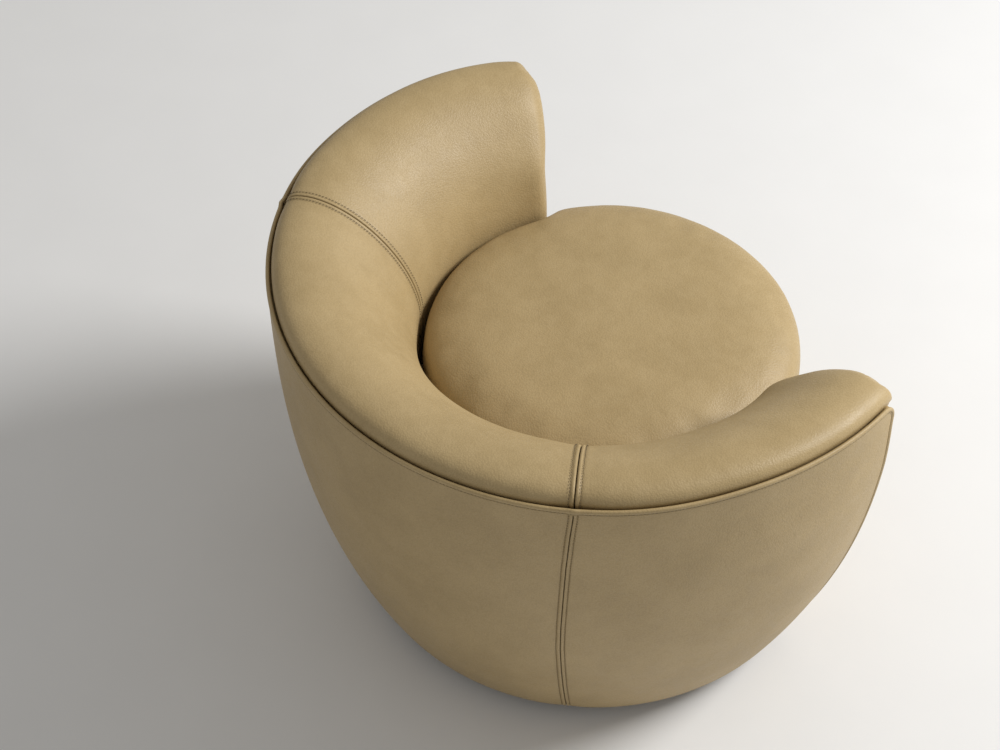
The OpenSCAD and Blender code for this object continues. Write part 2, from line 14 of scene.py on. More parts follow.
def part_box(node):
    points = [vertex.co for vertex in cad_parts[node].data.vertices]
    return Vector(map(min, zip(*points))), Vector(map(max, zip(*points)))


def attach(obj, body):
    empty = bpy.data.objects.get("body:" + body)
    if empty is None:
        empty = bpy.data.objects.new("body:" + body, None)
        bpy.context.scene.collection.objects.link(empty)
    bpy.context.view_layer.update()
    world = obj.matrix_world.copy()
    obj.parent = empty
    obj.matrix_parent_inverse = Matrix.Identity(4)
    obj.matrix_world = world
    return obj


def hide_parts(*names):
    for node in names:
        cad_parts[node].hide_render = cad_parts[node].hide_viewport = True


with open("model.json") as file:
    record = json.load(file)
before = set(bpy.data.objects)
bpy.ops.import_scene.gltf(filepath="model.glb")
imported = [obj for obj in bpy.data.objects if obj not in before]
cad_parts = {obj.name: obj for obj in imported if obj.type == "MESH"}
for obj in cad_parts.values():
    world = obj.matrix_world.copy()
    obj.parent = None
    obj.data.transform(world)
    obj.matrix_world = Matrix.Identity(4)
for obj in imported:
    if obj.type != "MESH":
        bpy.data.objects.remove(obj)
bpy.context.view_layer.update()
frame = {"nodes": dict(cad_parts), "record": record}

# Shell and back cushion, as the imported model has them
SHELL_R = 0.425
SHELL_FOOT_R = 0.329
SHELL_POWER = 2.5
RIM_Z = 0.569
FOOT_Z = 0.035
HEM_Z = 0.0327
CROWN_R = SHELL_R - 0.038
CROWN_Z = RIM_Z + 0.018
BULGE_IN = 0.0065
BULGE_Z = RIM_Z - 0.0025
ROLL_POWER = 2.6
FLANK_IN = 0.0102
TUCK_Z = 0.5560
INNER_R = 0.239
FACE_FOOT_Z = RIM_Z - 0.160
FACE_POWER = 1.73
CUSHION_FOOT_Z = 0.3105

# Arms: where they end, the round of their top corner and of their edges
FIRST = math.radians(-22.5)
HALF_BACK = math.radians(48.6)
SEAM_TURN = math.pi / 2 - HALF_BACK - FIRST
CORNER_R = 0.028
CORNER_Z = CROWN_Z + 0.001 - CORNER_R
EDGE_R = 0.021
OUTER_EDGE_R = 0.0115
END_FILL = 0.0012

# The arm's top leans in: how much, how far along the arm and over what length, and above what height
LEAN_IN, LEAN_FROM, LEAN_OVER, LEAN_Z, LEAN_RISE = 0.0035, 0.430, 0.180, 0.42, 0.12
# It falls towards its end, and a little more at the tip
FALL, FALL_REACH, FALL_Z, FALL_RISE = 0.021, 0.300, 0.47, 0.08
TIP_FALL, TIP_REACH = 0.0045, 0.060
# The top of the arm's front stands forward and its middle back, fading along the arm, towards
# the shell's edge and towards the foot
NOSE, NOSE_BACK, NOSE_REACH, NOSE_EDGE, NOSE_IN = 0.0080, 0.0052, 0.120, 0.010, 0.038
NOSE_Z, NOSE_RISE, NOSE_FOOT_Z, NOSE_FOOT_RISE = 0.465, 0.105, 0.26, 0.16

# The middle of the arm's front, from low to high
FRONT_LOW_Z, FRONT_HIGH_Z = 0.080, 0.470
# Where the shell and the seat hide the cushion, and how far back it still runs there
UNDER_SHELL_Z, UNDER_SEAT_Z, UNDER_SHELL_RUN, UNDER_FOOT_RUN = 0.535, 0.300, 0.046, 0.034

# Seat cushion
SEAT_R = 0.252
SEAT_Y = -0.025
SEAT_CROWN_Z = 0.440
SEAT_FULL_Z = 0.385
SEAT_FOOT_Z = 0.3145
SEAT_POWER = 3.5
SEAT_FOOT_POWER = 7
SEAT_EASE = 0.0025
SEAT_RISE = 0.001
SEAT_VOXEL = 0.0055
SEAT_PUFF = 0.003
SEAT_GAP = 0.001

# Front drum
DRUM_R = 0.250
DRUM_FOOT_R = 0.236
DRUM_TOP_Z = 0.3123
DRUM_UPRIGHT_Z = 0.310
DRUM_EDGE_R = 0.005
DRUM_STITCH = 0.0125
FLAP_W = 0.022

# Leather: its thickness, and the hem that is turned in under the chair
HIDE_WALL = 0.0015
HEM_W = 0.026
HEM_TURN_Z = HEM_Z + 0.006

# Seams: distances from the seam line, and the height of the leather there
SEAM_STEPS = (0, 0.0003, 0.0007, 0.0012, 0.0018, 0.0026, 0.0036, 0.0046, 0.0054, 0.0060,
              0.0065, 0.0070, 0.0075, 0.0081, 0.009, 0.0105, 0.013, 0.0165, 0.021, 0.027)
SEAM_SHAPE = ((0, -0.0030), (0.0003, -0.0018), (0.0007, -0.0002), (0.0012, 0.0007), (0.0018, 0.0011),
              (0.0026, 0.0013), (0.0036, 0.0012), (0.0046, 0.0008), (0.0054, 0.0003), (0.0060, -0.0001),
              (0.0068, -0.0003), (0.0076, -0.0001), (0.009, 0.0001), (0.0105, 0.0002), (0.016, 0))
STITCH_OUT = 0.0068
STITCH_PITCH = 0.0045
STITCH_LENGTH = 0.0031
STITCH_R = 0.0005
BACK_STITCH_Z = 0.405
PINCH = 0.0022
PINCH_REACH = 0.024

# The shell's seams are flatter than the cushion's, and their stitches nearer
OUTER_SEAM = 0.55
OUTER_SCALE = 0.79
SEAM_BOW = ((0.040, 0.0046), (0.110, 0.0072), (0.184, 0.0096), (0.264, 0.0116), (0.319, 0.0111),
            (0.391, 0.0090), (0.455, 0.0068), (0.515, 0.0034), (0.550, 0.0006), (0.569, 0))

# Binding on the shell's rim and front edges
BINDING_W = 0.0078
BINDING_BEAD = 0.0026
BINDING_STITCH = 0.0060
SHELL_EDGE_IN = 0.0105
SHELL_CORNER_R = 0.028
PANEL_EDGE_IN = 0.0022
# Where the binding crosses a seam: how far it swells out and in, and how far to either side
SWELL, SWELL_IN, SWELL_REACH = 0.0015, 0.0014, 0.0055

# Bent board inside the shell: how deep under the leather, its wall and its top
BOARD_IN = 0.0057
BOARD_WALL = 0.004
BOARD_TOP_Z = 0.5570
BOARD_EDGE_IN = 0.0016

# Webbing: five straps a layer
STRAP_W, STRAP_PITCH, STRAP_REACH, STRAP_WALL = 0.050, 0.070, 0.210, 0.0018

# The photograph's viewpoint: behind the chair's right side and well above it
CAMERA_PLACE = (-1.570, 1.275, 2.517)
CAMERA_ACROSS = (0.8147, -0.5799, 0)
CAMERA_TILT = math.radians(47.15)
CAMERA_LENS = 79.2


# Plain tools

def deselect():
    if bpy.context.mode != "OBJECT":
        bpy.ops.object.mode_set(mode="OBJECT")
    bpy.ops.object.select_all(action="DESELECT")


def only(piece):
    """Selects one piece and makes it active."""
    deselect()
    piece.select_set(True)
    bpy.context.view_layer.objects.active = piece
    return piece


def new_piece(name):
    """The primitive that was just added, under its own name."""
    piece = bpy.context.object
    piece.name = piece.data.name = name
    return piece


def settle(piece):
    """Puts a piece's place into its mesh."""
    only(piece)
    bpy.ops.object.transform_apply(location=True, rotation=True, scale=True)
    return piece


def finish_with(piece, kind, **settings):
    """Adds a modifier and applies it."""
    only(piece)
    modifier = piece.modifiers.new(kind.title(), kind)
    for key, value in settings.items():
        setattr(modifier, key, value)
    bpy.ops.object.modifier_apply(modifier=modifier.name)
    return piece


def points_of(piece):
    flat = np.zeros(len(piece.data.vertices) * 3)
    piece.data.vertices.foreach_get("co", flat)
    return flat.reshape(-1, 3)


def place_points(piece, points):
    piece.data.vertices.foreach_set("co", np.asarray(points, float).ravel())
    piece.data.update()


def mark_points(piece, name, values):
    """Stores one number a vertex, for the materials."""
    layer = piece.data.attributes.new(name, "FLOAT", "POINT")
    layer.data.foreach_set("value", np.asarray(values, np.float32).ravel())


def edit(piece, *steps):
    """Runs edit-mode operators on a whole piece."""
    only(piece)
    bpy.ops.object.mode_set(mode="EDIT")
    bpy.ops.mesh.select_all(action="SELECT")
    for step in steps:
        step()
    bpy.ops.object.mode_set(mode="OBJECT")
    return piece


def drop_points(piece, unwanted):
    """Deletes the vertices that a mask names."""
    edit(piece, lambda: bpy.ops.mesh.select_all(action="DESELECT"))
    piece.data.vertices.foreach_set("select", np.asarray(unwanted, bool).ravel())
    bpy.ops.object.mode_set(mode="EDIT")
    bpy.ops.mesh.delete(type="VERT")
    bpy.ops.object.mode_set(mode="OBJECT")


def face_outwards():
    bpy.ops.mesh.normals_make_consistent(inside=False)


def closed(piece, gap=0.00005):
    """Merges the points that meet and turns the faces outwards."""
    return edit(piece, lambda: bpy.ops.mesh.remove_doubles(threshold=gap), face_outwards)


def grid(name, across, along):
    """A flat grid of so many points across and along, and each point's two numbers."""
    deselect()
    bpy.ops.mesh.primitive_grid_add(x_subdivisions=across - 1, y_subdivisions=along - 1, size=2)
    piece = new_piece(name)
    flat = (points_of(piece)[:, :2] + 1) / 2
    return piece, *np.rint(flat * (across - 1, along - 1)).astype(int).T


def hide(name, across, along, place, unwanted=None, wall=HIDE_WALL):
    """A flat hide of so many points across and along, laid over its form.

    place takes the points' numbers across and along, and returns where they lie and
    how much painted shade of a seam each takes.
    """
    piece, i, j = grid(name, across, along)
    points, seam_shade = place(i, j)
    place_points(piece, points)
    mark_points(piece, "seam_shade", seam_shade)
    if unwanted is not None:
        drop_points(piece, unwanted(i, j))
    closed(piece)
    bpy.ops.object.shade_smooth()
    if wall:
        finish_with(piece, "SOLIDIFY", thickness=wall, offset=-1)
    return piece


def mirrored(piece, name):
    """The same piece for the other side of the chair, with its own mesh."""
    only(piece)
    bpy.ops.object.duplicate()
    twin = new_piece(name)
    twin.data.transform(Matrix.Scale(-1, 4, (1, 0, 0)))
    edit(twin, lambda: bpy.ops.mesh.flip_normals())
    return twin


def joined(pieces, name):
    """Several pieces made one."""
    deselect()
    for piece in pieces:
        piece.select_set(True)
    bpy.context.view_layer.objects.active = pieces[0]
    bpy.ops.object.join()
    return new_piece(name)


def both_sides(half, name):
    """A half of a piece and its mirror image, made one."""
    return joined([half, mirrored(half, name + "_other")], name)


# Outlines: each is a line of (radius, height), with the way that its leather faces

def run_of(points):
    """How far along a line each of its points lies."""
    return np.concatenate([[0], np.cumsum(np.linalg.norm(np.diff(points, axis=0), axis=1))])


def read_at(at, run, rows):
    """Rows of numbers read at other distances along their run."""
    return np.stack([np.interp(at, run, column) for column in rows.T], axis=1)


def even_line(points, step):
    """The same line in even steps."""
    points = np.array(points, float)
    run = run_of(points)
    count = max(2, round(run[-1] / step) + 1)
    return read_at(np.linspace(0, run[-1], count), run, points)


def facing(line):
    """The way out of a line: to the right of the way that it runs."""
    way = np.gradient(line, axis=0)
    out = np.stack([way[:, 1], -way[:, 0]], axis=1)
    return out / np.linalg.norm(out, axis=1)[:, None]


def shell_radius(z):
    t = np.clip((np.asarray(z, float) - FOOT_Z) / (RIM_Z - FOOT_Z), 0, 1)
    return SHELL_FOOT_R + (SHELL_R - SHELL_FOOT_R) * (1 - (1 - t) ** SHELL_POWER)


def drum_radius(z):
    t = np.clip((np.asarray(z, float) - FOOT_Z) / (DRUM_UPRIGHT_Z - FOOT_Z), 0, 1)
    return DRUM_FOOT_R + (DRUM_R - DRUM_FOOT_R) * (1 - (1 - t) ** SHELL_POWER)


def turned_hem(radius_at_foot, width, z=HEM_Z, round_r=0.004):
    """From the hem's inner edge out to where the leather turns up."""
    middle = radius_at_foot - round_r
    turn = [(middle + round_r * math.sin(a), z + round_r - round_r * math.cos(a))
            for a in np.radians((15, 30, 45, 60, 75, 90))]
    return [(radius_at_foot - width, z), (middle - 0.006, z), (middle, z), *turn]


ARM_HEM_Z = HEM_Z + 0.0017
ARM_FOOT_R = float(shell_radius(HEM_Z)) - FLANK_IN
ARM_MIDDLE_R = (INNER_R + ARM_FOOT_R) / 2


def flank_line():
    """The cushion's hidden side under the shell, from its hem to the roll's fullest point."""
    side = [(shell_radius(h) - FLANK_IN, h) for h in np.linspace(HEM_TURN_Z, TUCK_Z, 60)]
    hem = turned_hem(ARM_FOOT_R, ARM_FOOT_R - ARM_MIDDLE_R, ARM_HEM_Z)
    return even_line(hem + side + bulge_foot(), 0.008)


def bulge_foot():
    """From the shell's inner face out under the roll's fullest point."""
    return [(SHELL_R - 0.0090, 0.5595), (SHELL_R - 0.0074, 0.5630), (SHELL_R - BULGE_IN, BULGE_Z)]


def roll_line():
    """Over the roll, from its fullest point up to the crown."""
    reach = SHELL_R - BULGE_IN - CROWN_R
    power = 2 / ROLL_POWER
    return even_line([(CROWN_R + reach * math.cos(a) ** power,
                       BULGE_Z + (CROWN_Z - BULGE_Z) * math.sin(a) ** power)
                      for a in np.linspace(0, math.pi / 2, 90)], 0.0035)


def face_line():
    """The cushion's inner face, from its crown down to where it stands upright."""
    power = 2 / FACE_POWER
    fall = CROWN_Z - FACE_FOOT_Z
    return even_line([(CROWN_R - (CROWN_R - INNER_R) * math.cos(a) ** power,
                       FACE_FOOT_Z + fall * math.sin(a) ** power)
                      for a in np.linspace(math.pi / 2, 0, 240)], 0.005)


def arm_line():
    """The arm's whole section, from its outer foot over the roll to its inner foot."""
    hem = turned_hem(INNER_R, ARM_MIDDLE_R - INNER_R, ARM_HEM_Z)
    hem = [(2 * INNER_R - r, z) for r, z in reversed(hem)]
    upright = even_line([(INNER_R, FACE_FOOT_Z)] + hem, 0.007)
    return np.concatenate([flank_line()[:-1], roll_line()[:-1], face_line()[:-1], upright])


def back_line():
    """The section of the back's middle panel, from its tuck in the groove to its foot."""
    tuck = even_line([(SHELL_R - FLANK_IN, 0.540), (SHELL_R - FLANK_IN, TUCK_Z)] + bulge_foot(), 0.004)
    upright = even_line([(INNER_R, FACE_FOOT_Z), (INNER_R, CUSHION_FOOT_Z)], 0.007)
    return np.concatenate([tuck[:-1], roll_line()[:-1], face_line()[:-1], upright])


# Seams

def seam_height(distance, strength=1.0):
    """How far the leather stands out beside a seam."""
    steps, heights = zip(*SEAM_SHAPE)
    near = np.interp(distance, steps, heights)
    return strength * near - strength * PINCH * np.exp(-((distance / PINCH_REACH) ** 2))


def seam_shade_at(distance):
    """Painted shade of a seam: 1 in the seam line and 0 on the open leather, with a little in the row
    of stitches.
    """
    return np.interp(distance, (0, 0.0003, 0.0007, 0.0013, 0.0060, 0.0068, 0.0076),
                     (1, 0.85, 0.3, 0, 0, 0.10, 0))


def spun(r, angle, z, y=0.0):
    """Points round an upright axis on the chair's middle, by radius, angle and height."""
    return np.stack(np.broadcast_arrays(r * np.cos(angle), y + r * np.sin(angle), z), axis=1)


def turned_round(line, angle):
    """A line of (radius, height) at angles round the swivel's axis."""
    return spun(line[:, 0], angle, line[:, 1])


def lie_by_seam(line, out, angle, distance, strength=1.0):
    """Where leather on a section's line lies, as far from a seam as given, and its painted seam shade.
    """
    lift = seam_height(distance, strength)[:, None]
    return turned_round(line + lift * out, angle), seam_shade_at(distance)


def middle_place(line, count, scale=1.0, strength=1.0, bow=lambda z: 0.0):
    """How a hide lies between the two seams, with its points close together beside them."""
    out = facing(line)
    steps = np.array(SEAM_STEPS) * scale

    def place(i, j):
        half = count // 2
        k = np.minimum(i, count - 1 - i)
        r, z = line[j].T
        half_back = HALF_BACK - bow(z)
        start = steps[-1] / r
        share = (k - len(steps) + 1) / (half - len(steps) + 0.5)
        turn = np.where(k < len(steps), steps[np.clip(k, 0, len(steps) - 1)] / r,
                        start + (half_back - start) * share)
        angle = math.pi / 2 + np.where(i < half, 1, -1) * (half_back - turn)
        return lie_by_seam(line[j], out[j], angle, turn * r / scale, strength)

    return place


def beside_seam(k, share, r, start, seam, steps):
    """Angles of a hide's columns: spread out from its start, then, from k = 0, close to the seam."""
    steps = steps[::-1]
    near = seam - steps[np.clip(k, 0, len(steps) - 1)] / r
    return np.where(k >= 0, near, start + (seam - steps[0] / r - start) * share)


# The back cushion's side panels, which run on round the front of each arm

CAP_COLUMNS, EDGE_COLUMNS, MAIN_COLUMNS = 11, 9, 50
SIDE_COLUMNS = CAP_COLUMNS + EDGE_COLUMNS + MAIN_COLUMNS + len(SEAM_STEPS)


def smooth(share):
    """0 to 1 with soft ends."""
    share = np.clip(share, 0, 1)
    return share * share * (3 - 2 * share)


def settled_arm(x, y, z):
    """The arm's top leans in a little, falls towards its end and noses forward there."""
    r = np.hypot(x, y)
    run = SHELL_R * np.arctan2(y, x)
    lean = LEAN_IN * smooth((LEAN_FROM - run) / LEAN_OVER) * smooth((z - LEAN_Z) / LEAN_RISE)
    fall = FALL * np.clip(1 - run / FALL_REACH, 0, 1) ** 2
    fall += TIP_FALL * np.clip(1 - run / TIP_REACH, 0, 1) ** 2
    fall = fall * smooth((z - FALL_Z) / FALL_RISE)
    near = np.clip(1 - y / NOSE_REACH, 0, 1) ** 2
    near = near * smooth((shell_radius(z) - NOSE_EDGE - r) / NOSE_IN)
    out = (NOSE + NOSE_BACK) * smooth((z - NOSE_Z) / NOSE_RISE) - NOSE_BACK
    nose = near * out * smooth((z - NOSE_FOOT_Z) / NOSE_FOOT_RISE)
    return x * (1 - lean / r), y * (1 - lean / r) - nose, z - fall


def arm_place(x, y, z):
    """From the arm's front end, out along it, back into it and up, to the chair's own axes."""
    x, y, z = settled_arm(x, y, z)
    c, s = math.cos(FIRST), math.sin(FIRST)
    return np.stack([x * c - y * s, x * s + y * c, z], axis=-1)


def front_outline(h):
    """The arm's front from the side: how far back and how high a point is, h along it."""
    turn = np.clip((h - CORNER_Z) / CORNER_R, 0, math.pi / 2)
    back = CORNER_R * (1 - np.cos(turn))
    return back, np.where(h > CORNER_Z, CORNER_Z + CORNER_R * np.sin(turn), h)


class ArmSection:
    """The arm's section and how its edge rolls over to the front."""

    def __init__(self):
        self.line = arm_line()
        self.out = facing(self.line)
        self.count = len(self.line)
        self.crown = int(np.argmax(self.line[:, 1]))
        past_crown = (np.arange(self.count) - self.crown + 7) / 16
        off_foot = (self.line[:, 1] - HEM_Z - 0.010) / 0.080
        self.edge_r = OUTER_EDGE_R + (EDGE_R - OUTER_EDGE_R) * smooth(np.minimum(past_crown, off_foot))
        padded = np.pad(self.out, ((3, 3), (0, 0)), mode="edge")
        self.edge_out = sum(padded[k:k + self.count] for k in range(7))
        self.edge_out /= np.linalg.norm(self.edge_out, axis=1)[:, None]
        r, z = (self.line - self.edge_r[:, None] * self.edge_out).T
        inner_r = CORNER_R - self.edge_r
        rise = np.clip(z - CORNER_Z, 0, inner_r * 0.999)
        root = np.sqrt(inner_r ** 2 - rise ** 2)
        self.centre_r, self.centre_z = r, z
        self.back = CORNER_R - root
        self.front_way = np.stack([-root, rise], axis=1) / inner_r[:, None]
        self.start = np.arcsin(self.back / r)
        self.end_x = r * np.cos(self.start)
        self.end_h = np.where(z > CORNER_Z, CORNER_Z + CORNER_R * np.arctan2(rise, root), z)
        self.set_targets()

    def set_targets(self):
        """Where each row of the arm's front runs to: the middle of the front, low or high.

        An inner row ends on the nearest outer row's end, so that the two sides close.
        """
        inner = np.arange(self.count) > self.crown
        outer = ~inner
        self.target_h = np.clip(self.end_h, FRONT_LOW_Z, FRONT_HIGH_Z)
        x_in = np.interp(self.target_h, self.end_h[inner][::-1], self.end_x[inner][::-1])
        x_out = np.interp(self.target_h, self.end_h[outer], self.end_x[outer])
        self.target_x = (x_in + x_out) / 2
        ends = np.flatnonzero(outer)
        apart = np.abs(self.target_h[inner][:, None] - self.target_h[ends][None, :])
        nearest = ends[np.argmin(apart, axis=1)]
        self.target_h[inner] = self.target_h[nearest]
        self.target_x[inner] = self.target_x[nearest]


def edge_points(section, rows, turn):
    """Points on the rounded edge, from the arm's face (0) round to its front (1)."""
    n, f = section.edge_out[rows], section.front_way[rows]
    a = section.start[rows]
    face_way = np.stack([np.cos(a) * n[:, 0], np.sin(a) * n[:, 0], n[:, 1]], axis=1)
    front_way = np.stack([np.zeros(len(a)), f[:, 0], f[:, 1]], axis=1)
    angle = turn * math.pi / 2
    way = np.cos(angle)[:, None] * face_way + np.sin(angle)[:, None] * front_way
    way /= np.linalg.norm(way, axis=1)[:, None]
    r = section.centre_r[rows]
    centre = np.stack([r * np.cos(a), r * np.sin(a), section.centre_z[rows]], axis=1)
    return centre + section.edge_r[rows][:, None] * way


def cap_points(section, rows, share):
    """Points on the arm's front, from its middle (0) out to its rounded edge (1)."""
    x = section.target_x[rows] + (section.end_x[rows] - section.target_x[rows]) * share
    h = section.target_h[rows] + (section.end_h[rows] - section.target_h[rows]) * share
    back, z = front_outline(h)
    fill = END_FILL * (1 - share ** 2) ** 2
    return np.stack([x, back - fill, z], axis=1)


def side_angles(section, rows, columns):
    """Angles from the arm's front, for the columns of the face and of its seam."""
    k = columns - CAP_COLUMNS - EDGE_COLUMNS
    return beside_seam(k - MAIN_COLUMNS, (k + 1) / (MAIN_COLUMNS + 1), section.line[rows, 0],
                       section.start[rows], SEAM_TURN, np.array(SEAM_STEPS))


def side_place(section):
    def place(i, j):
        points = np.zeros((len(i), 3))
        seam_shade = np.zeros(len(i))
        cap = i < CAP_COLUMNS
        edge = (i >= CAP_COLUMNS) & (i < CAP_COLUMNS + EDGE_COLUMNS)
        face = i >= CAP_COLUMNS + EDGE_COLUMNS
        points[cap] = cap_points(section, j[cap], i[cap] / CAP_COLUMNS)
        turn = 1 - (i[edge] - CAP_COLUMNS) / EDGE_COLUMNS
        points[edge] = edge_points(section, j[edge], turn)
        rows = j[face]
        angle = side_angles(section, rows, i[face])
        line = section.line[rows]
        away = (SEAM_TURN - angle) * line[:, 0]
        points[face], seam_shade[face] = lie_by_seam(line, section.out[rows], angle, away)
        return arm_place(*points.T), seam_shade
    return place


def out_of_sight(section):
    """The parts of the section that the shell or the seat covers, away from the arm's end."""
    def unwanted(i, j):
        r, z = section.line[j].T
        deep = np.where(j < section.crown, z < UNDER_SHELL_Z, (j > section.crown) & (z < UNDER_SEAT_Z))
        first = CAP_COLUMNS + EDGE_COLUMNS
        run = side_angles(section, j, np.maximum(i, first)) * r
        far_back = np.where(z < ARM_HEM_Z + 0.001, UNDER_FOOT_RUN, UNDER_SHELL_RUN)
        return deep & (i >= first) & (run > far_back)
    return unwanted


def make_side_panels(section):
    left = hide("back_leather_left", SIDE_COLUMNS, section.count, side_place(section),
                out_of_sight(section))
    return left, mirrored(left, "back_leather_right")


def make_back_panel():
    """The back's middle panel, between the two seams."""
    line = back_line()
    count = 2 * len(SEAM_STEPS) + 84
    return hide("back_leather_middle", count, len(line), middle_place(line, count))


# Outer shell

def shell_line(below_rim):
    """The outer leather's section, from its hem up to so far below the rim."""
    side = [(shell_radius(h), h) for h in np.linspace(HEM_TURN_Z, RIM_Z - below_rim, 60)]
    return even_line(turned_hem(shell_radius(HEM_Z), HEM_W) + side, 0.0075)


def shell_edge(z, inset=0.0):
    """How far behind the arm's front the shell's edge lies at a height."""
    r = SHELL_CORNER_R - inset
    rise = np.clip(z - (RIM_Z - SHELL_CORNER_R), 0, r)
    return SHELL_EDGE_IN + SHELL_CORNER_R - np.sqrt(r ** 2 - rise ** 2)


def seam_bow(z):
    """How far towards the back the shell's seam bows at a height, as an angle."""
    heights, bows = zip(*SEAM_BOW)
    return np.interp(z, heights, bows) / shell_radius(z)


def make_shell_panels():
    """The outer leather: two sides and the back, with their hem turned in underneath."""
    line = shell_line(PANEL_EDGE_IN)
    out = facing(line)
    steps = np.array(SEAM_STEPS) * OUTER_SCALE
    main = 44

    def side(i, j):
        r, z = line[j].T
        start = np.arcsin(shell_edge(z, PANEL_EDGE_IN) / r)
        seam = SEAM_TURN + seam_bow(z)
        angle = beside_seam(i - main, i / main, r, start, seam, steps)
        away = (seam - angle) * r / OUTER_SCALE
        points, seam_shade = lie_by_seam(line[j], out[j], angle, away, OUTER_SEAM)
        return arm_place(*points.T), seam_shade

    count = 2 * len(steps) + 90
    left = hide("shell_leather_left", main + len(steps), len(line), side)
    right = mirrored(left, "shell_leather_right")
    middle = hide("shell_leather_back", count, len(line),
                  middle_place(line, count, OUTER_SCALE, OUTER_SEAM, seam_bow))
    return left, middle, right


def make_board():
    """The bent board inside the shell, which follows the arms' lean and fall."""
    z = np.linspace(FOOT_Z, BOARD_TOP_Z, 60)
    line = even_line([(shell_radius(h) - BOARD_IN, h) for h in z], 0.012)
    columns = 70

    def place(i, j):
        r, h = line[j].T
        start = np.arcsin((shell_edge(h) + BOARD_EDGE_IN) / r)
        angle = start + (math.pi / 2 - FIRST - start) * i / (columns - 1)
        return arm_place(r * np.cos(angle), r * np.sin(angle), h), np.zeros(len(i))

    half = hide("shell_board_half", columns, len(line), place, wall=0)
    board = closed(both_sides(half, "shell_board"), 0.0002)
    finish_with(board, "SOLIDIFY", thickness=BOARD_WALL, offset=-1)
    bpy.ops.object.shade_smooth_by_angle(angle=math.radians(40))
    return board


def rim_path(step=0.004):
    """Half of the shell's edge: up the arm's front, round its corner and along the rim.

    Each point is an angle from the arm's front and a height, with the way into the panel.
    """
    foot = [(SHELL_EDGE_IN, z) for z in np.arange(HEM_Z + 0.001, RIM_Z - SHELL_CORNER_R, step)]
    centre = (SHELL_EDGE_IN + SHELL_CORNER_R, RIM_Z - SHELL_CORNER_R)
    corner = [(centre[0] - SHELL_CORNER_R * math.cos(a), centre[1] + SHELL_CORNER_R * math.sin(a))
              for a in np.linspace(0, math.pi / 2, 20)]
    length = (math.pi / 2 - FIRST) * SHELL_R
    rim = [(y, RIM_Z) for y in np.arange(centre[0] + step, length, step)] + [(length, RIM_Z)]
    flat = np.array(foot + corner + rim)
    way = np.gradient(flat, axis=0)
    way /= np.linalg.norm(way, axis=1)[:, None]
    return flat, np.stack([way[:, 1], -way[:, 0]], axis=1)


def binding_section(tuck):
    """The binding from its stitched edge on the panel, over the bead and into the groove.

    Each point is a distance in from the shell's edge and a height off the shell's face.
    The tuck is where it runs on in the groove, over the edge of the board inside.
    """
    wide, sewn, bead_r = BINDING_W, BINDING_STITCH, BINDING_BEAD
    flat = [(wide + 0.0004, -0.0004), (wide + 0.0001, 0.0004), (wide - 0.0004, 0.0008),
            (wide - 0.0011, 0.0009), (sewn + 0.0003, 0.0005), (sewn, 0.0003),
            (sewn - 0.0003, 0.0005), (sewn - 0.001, 0.0010), (0.0040, 0.0012)]
    bead = [(bead_r + bead_r * math.cos(a), 0.0011 - bead_r + bead_r * math.sin(a))
            for a in np.radians(np.linspace(90, 270, 13))]
    return np.array(flat + bead + tuck)


def shell_point(flat_y, z, off):
    """A place on the shell's face, so far round from the arm's front, and off the face."""
    r = shell_radius(z)
    slope = (shell_radius(z + 0.001) - shell_radius(z - 0.001)) / 0.002
    n = np.stack([np.ones_like(slope), -slope], axis=-1)
    n /= np.linalg.norm(n, axis=-1)[..., None]
    near = np.arcsin(np.clip(flat_y / r, 0, 0.3))
    angle = np.where(flat_y < 0.1, near, flat_y / SHELL_R)
    r2, z2 = r + off * n[..., 0], z + off * n[..., 1]
    return arm_place(r2 * np.cos(angle), r2 * np.sin(angle), z2)


def make_binding():
    """The folded strip on the shell's rim, thicker where it crosses a seam."""
    flat, way_in = rim_path()
    section = binding_section([(0.0065, -0.0043), (0.0104, -0.0052), (0.0108, -0.0105)])
    front = binding_section([(0.0012, -0.0046), (0.0003, -0.0060), (0.0003, -0.0105)])

    def place(i, j):
        y, z = flat[i].T
        on_rim = smooth((y - 0.017) / 0.012)
        inward, off = (front[j].T * (1 - on_rim) + section[j].T * on_rim)
        from_seam = y - SEAM_TURN * SHELL_R
        swell = np.exp(-((from_seam / SWELL_REACH) ** 2)) * (z > RIM_Z - 0.001)
        off = off + SWELL * swell
        inward = inward - SWELL_IN * swell * np.exp(-inward / 0.006)
        step = way_in[i]
        # Painted shade along the binding's row of stitches.
        seam_shade = np.interp(section[j, 0] - BINDING_STITCH, (-0.0012, 0, 0.0012), (0, 0.3, 0))
        return shell_point(y + inward * step[:, 0], z + inward * step[:, 1], off), seam_shade

    half = hide("rim_binding_half", len(flat), len(section), place, wall=0)
    binding = closed(both_sides(half, "rim_binding"), 0.0002)
    return finish_with(binding, "SOLIDIFY", thickness=0.0006, offset=-1)


# Front drum

def make_front_leather():
    """The leather over the drum between the arms, folded in over its top."""
    edge_r = DRUM_EDGE_R
    side = [(drum_radius(h), h) for h in np.linspace(HEM_TURN_Z, DRUM_TOP_Z - edge_r, 40)]
    top = [(DRUM_R - edge_r + edge_r * math.cos(a), DRUM_TOP_Z - edge_r + edge_r * math.sin(a))
           for a in np.radians((15, 30, 45, 60, 75, 90))]
    line = np.concatenate([
        even_line(turned_hem(drum_radius(HEM_Z), HEM_W) + side, 0.007)[:-1],
        even_line([(DRUM_R, DRUM_TOP_Z - edge_r), *top, (DRUM_R - FLAP_W, DRUM_TOP_Z)], 0.0025)])
    columns = 96
    lean = math.pi / 2 + FIRST

    def place(i, j):
        r, h = line[j].T
        inside = (0.0015 - SEAT_Y * math.cos(FIRST)) / r
        stop = lean - np.arccos(np.clip(inside, -1, 1))
        share = i / (columns - 1)
        angle = stop + (-math.pi - 2 * stop) * share
        return spun(r, angle, h, SEAT_Y), np.zeros(len(i))

    return hide("front_leather", columns, len(line), place)


# Seat cushion

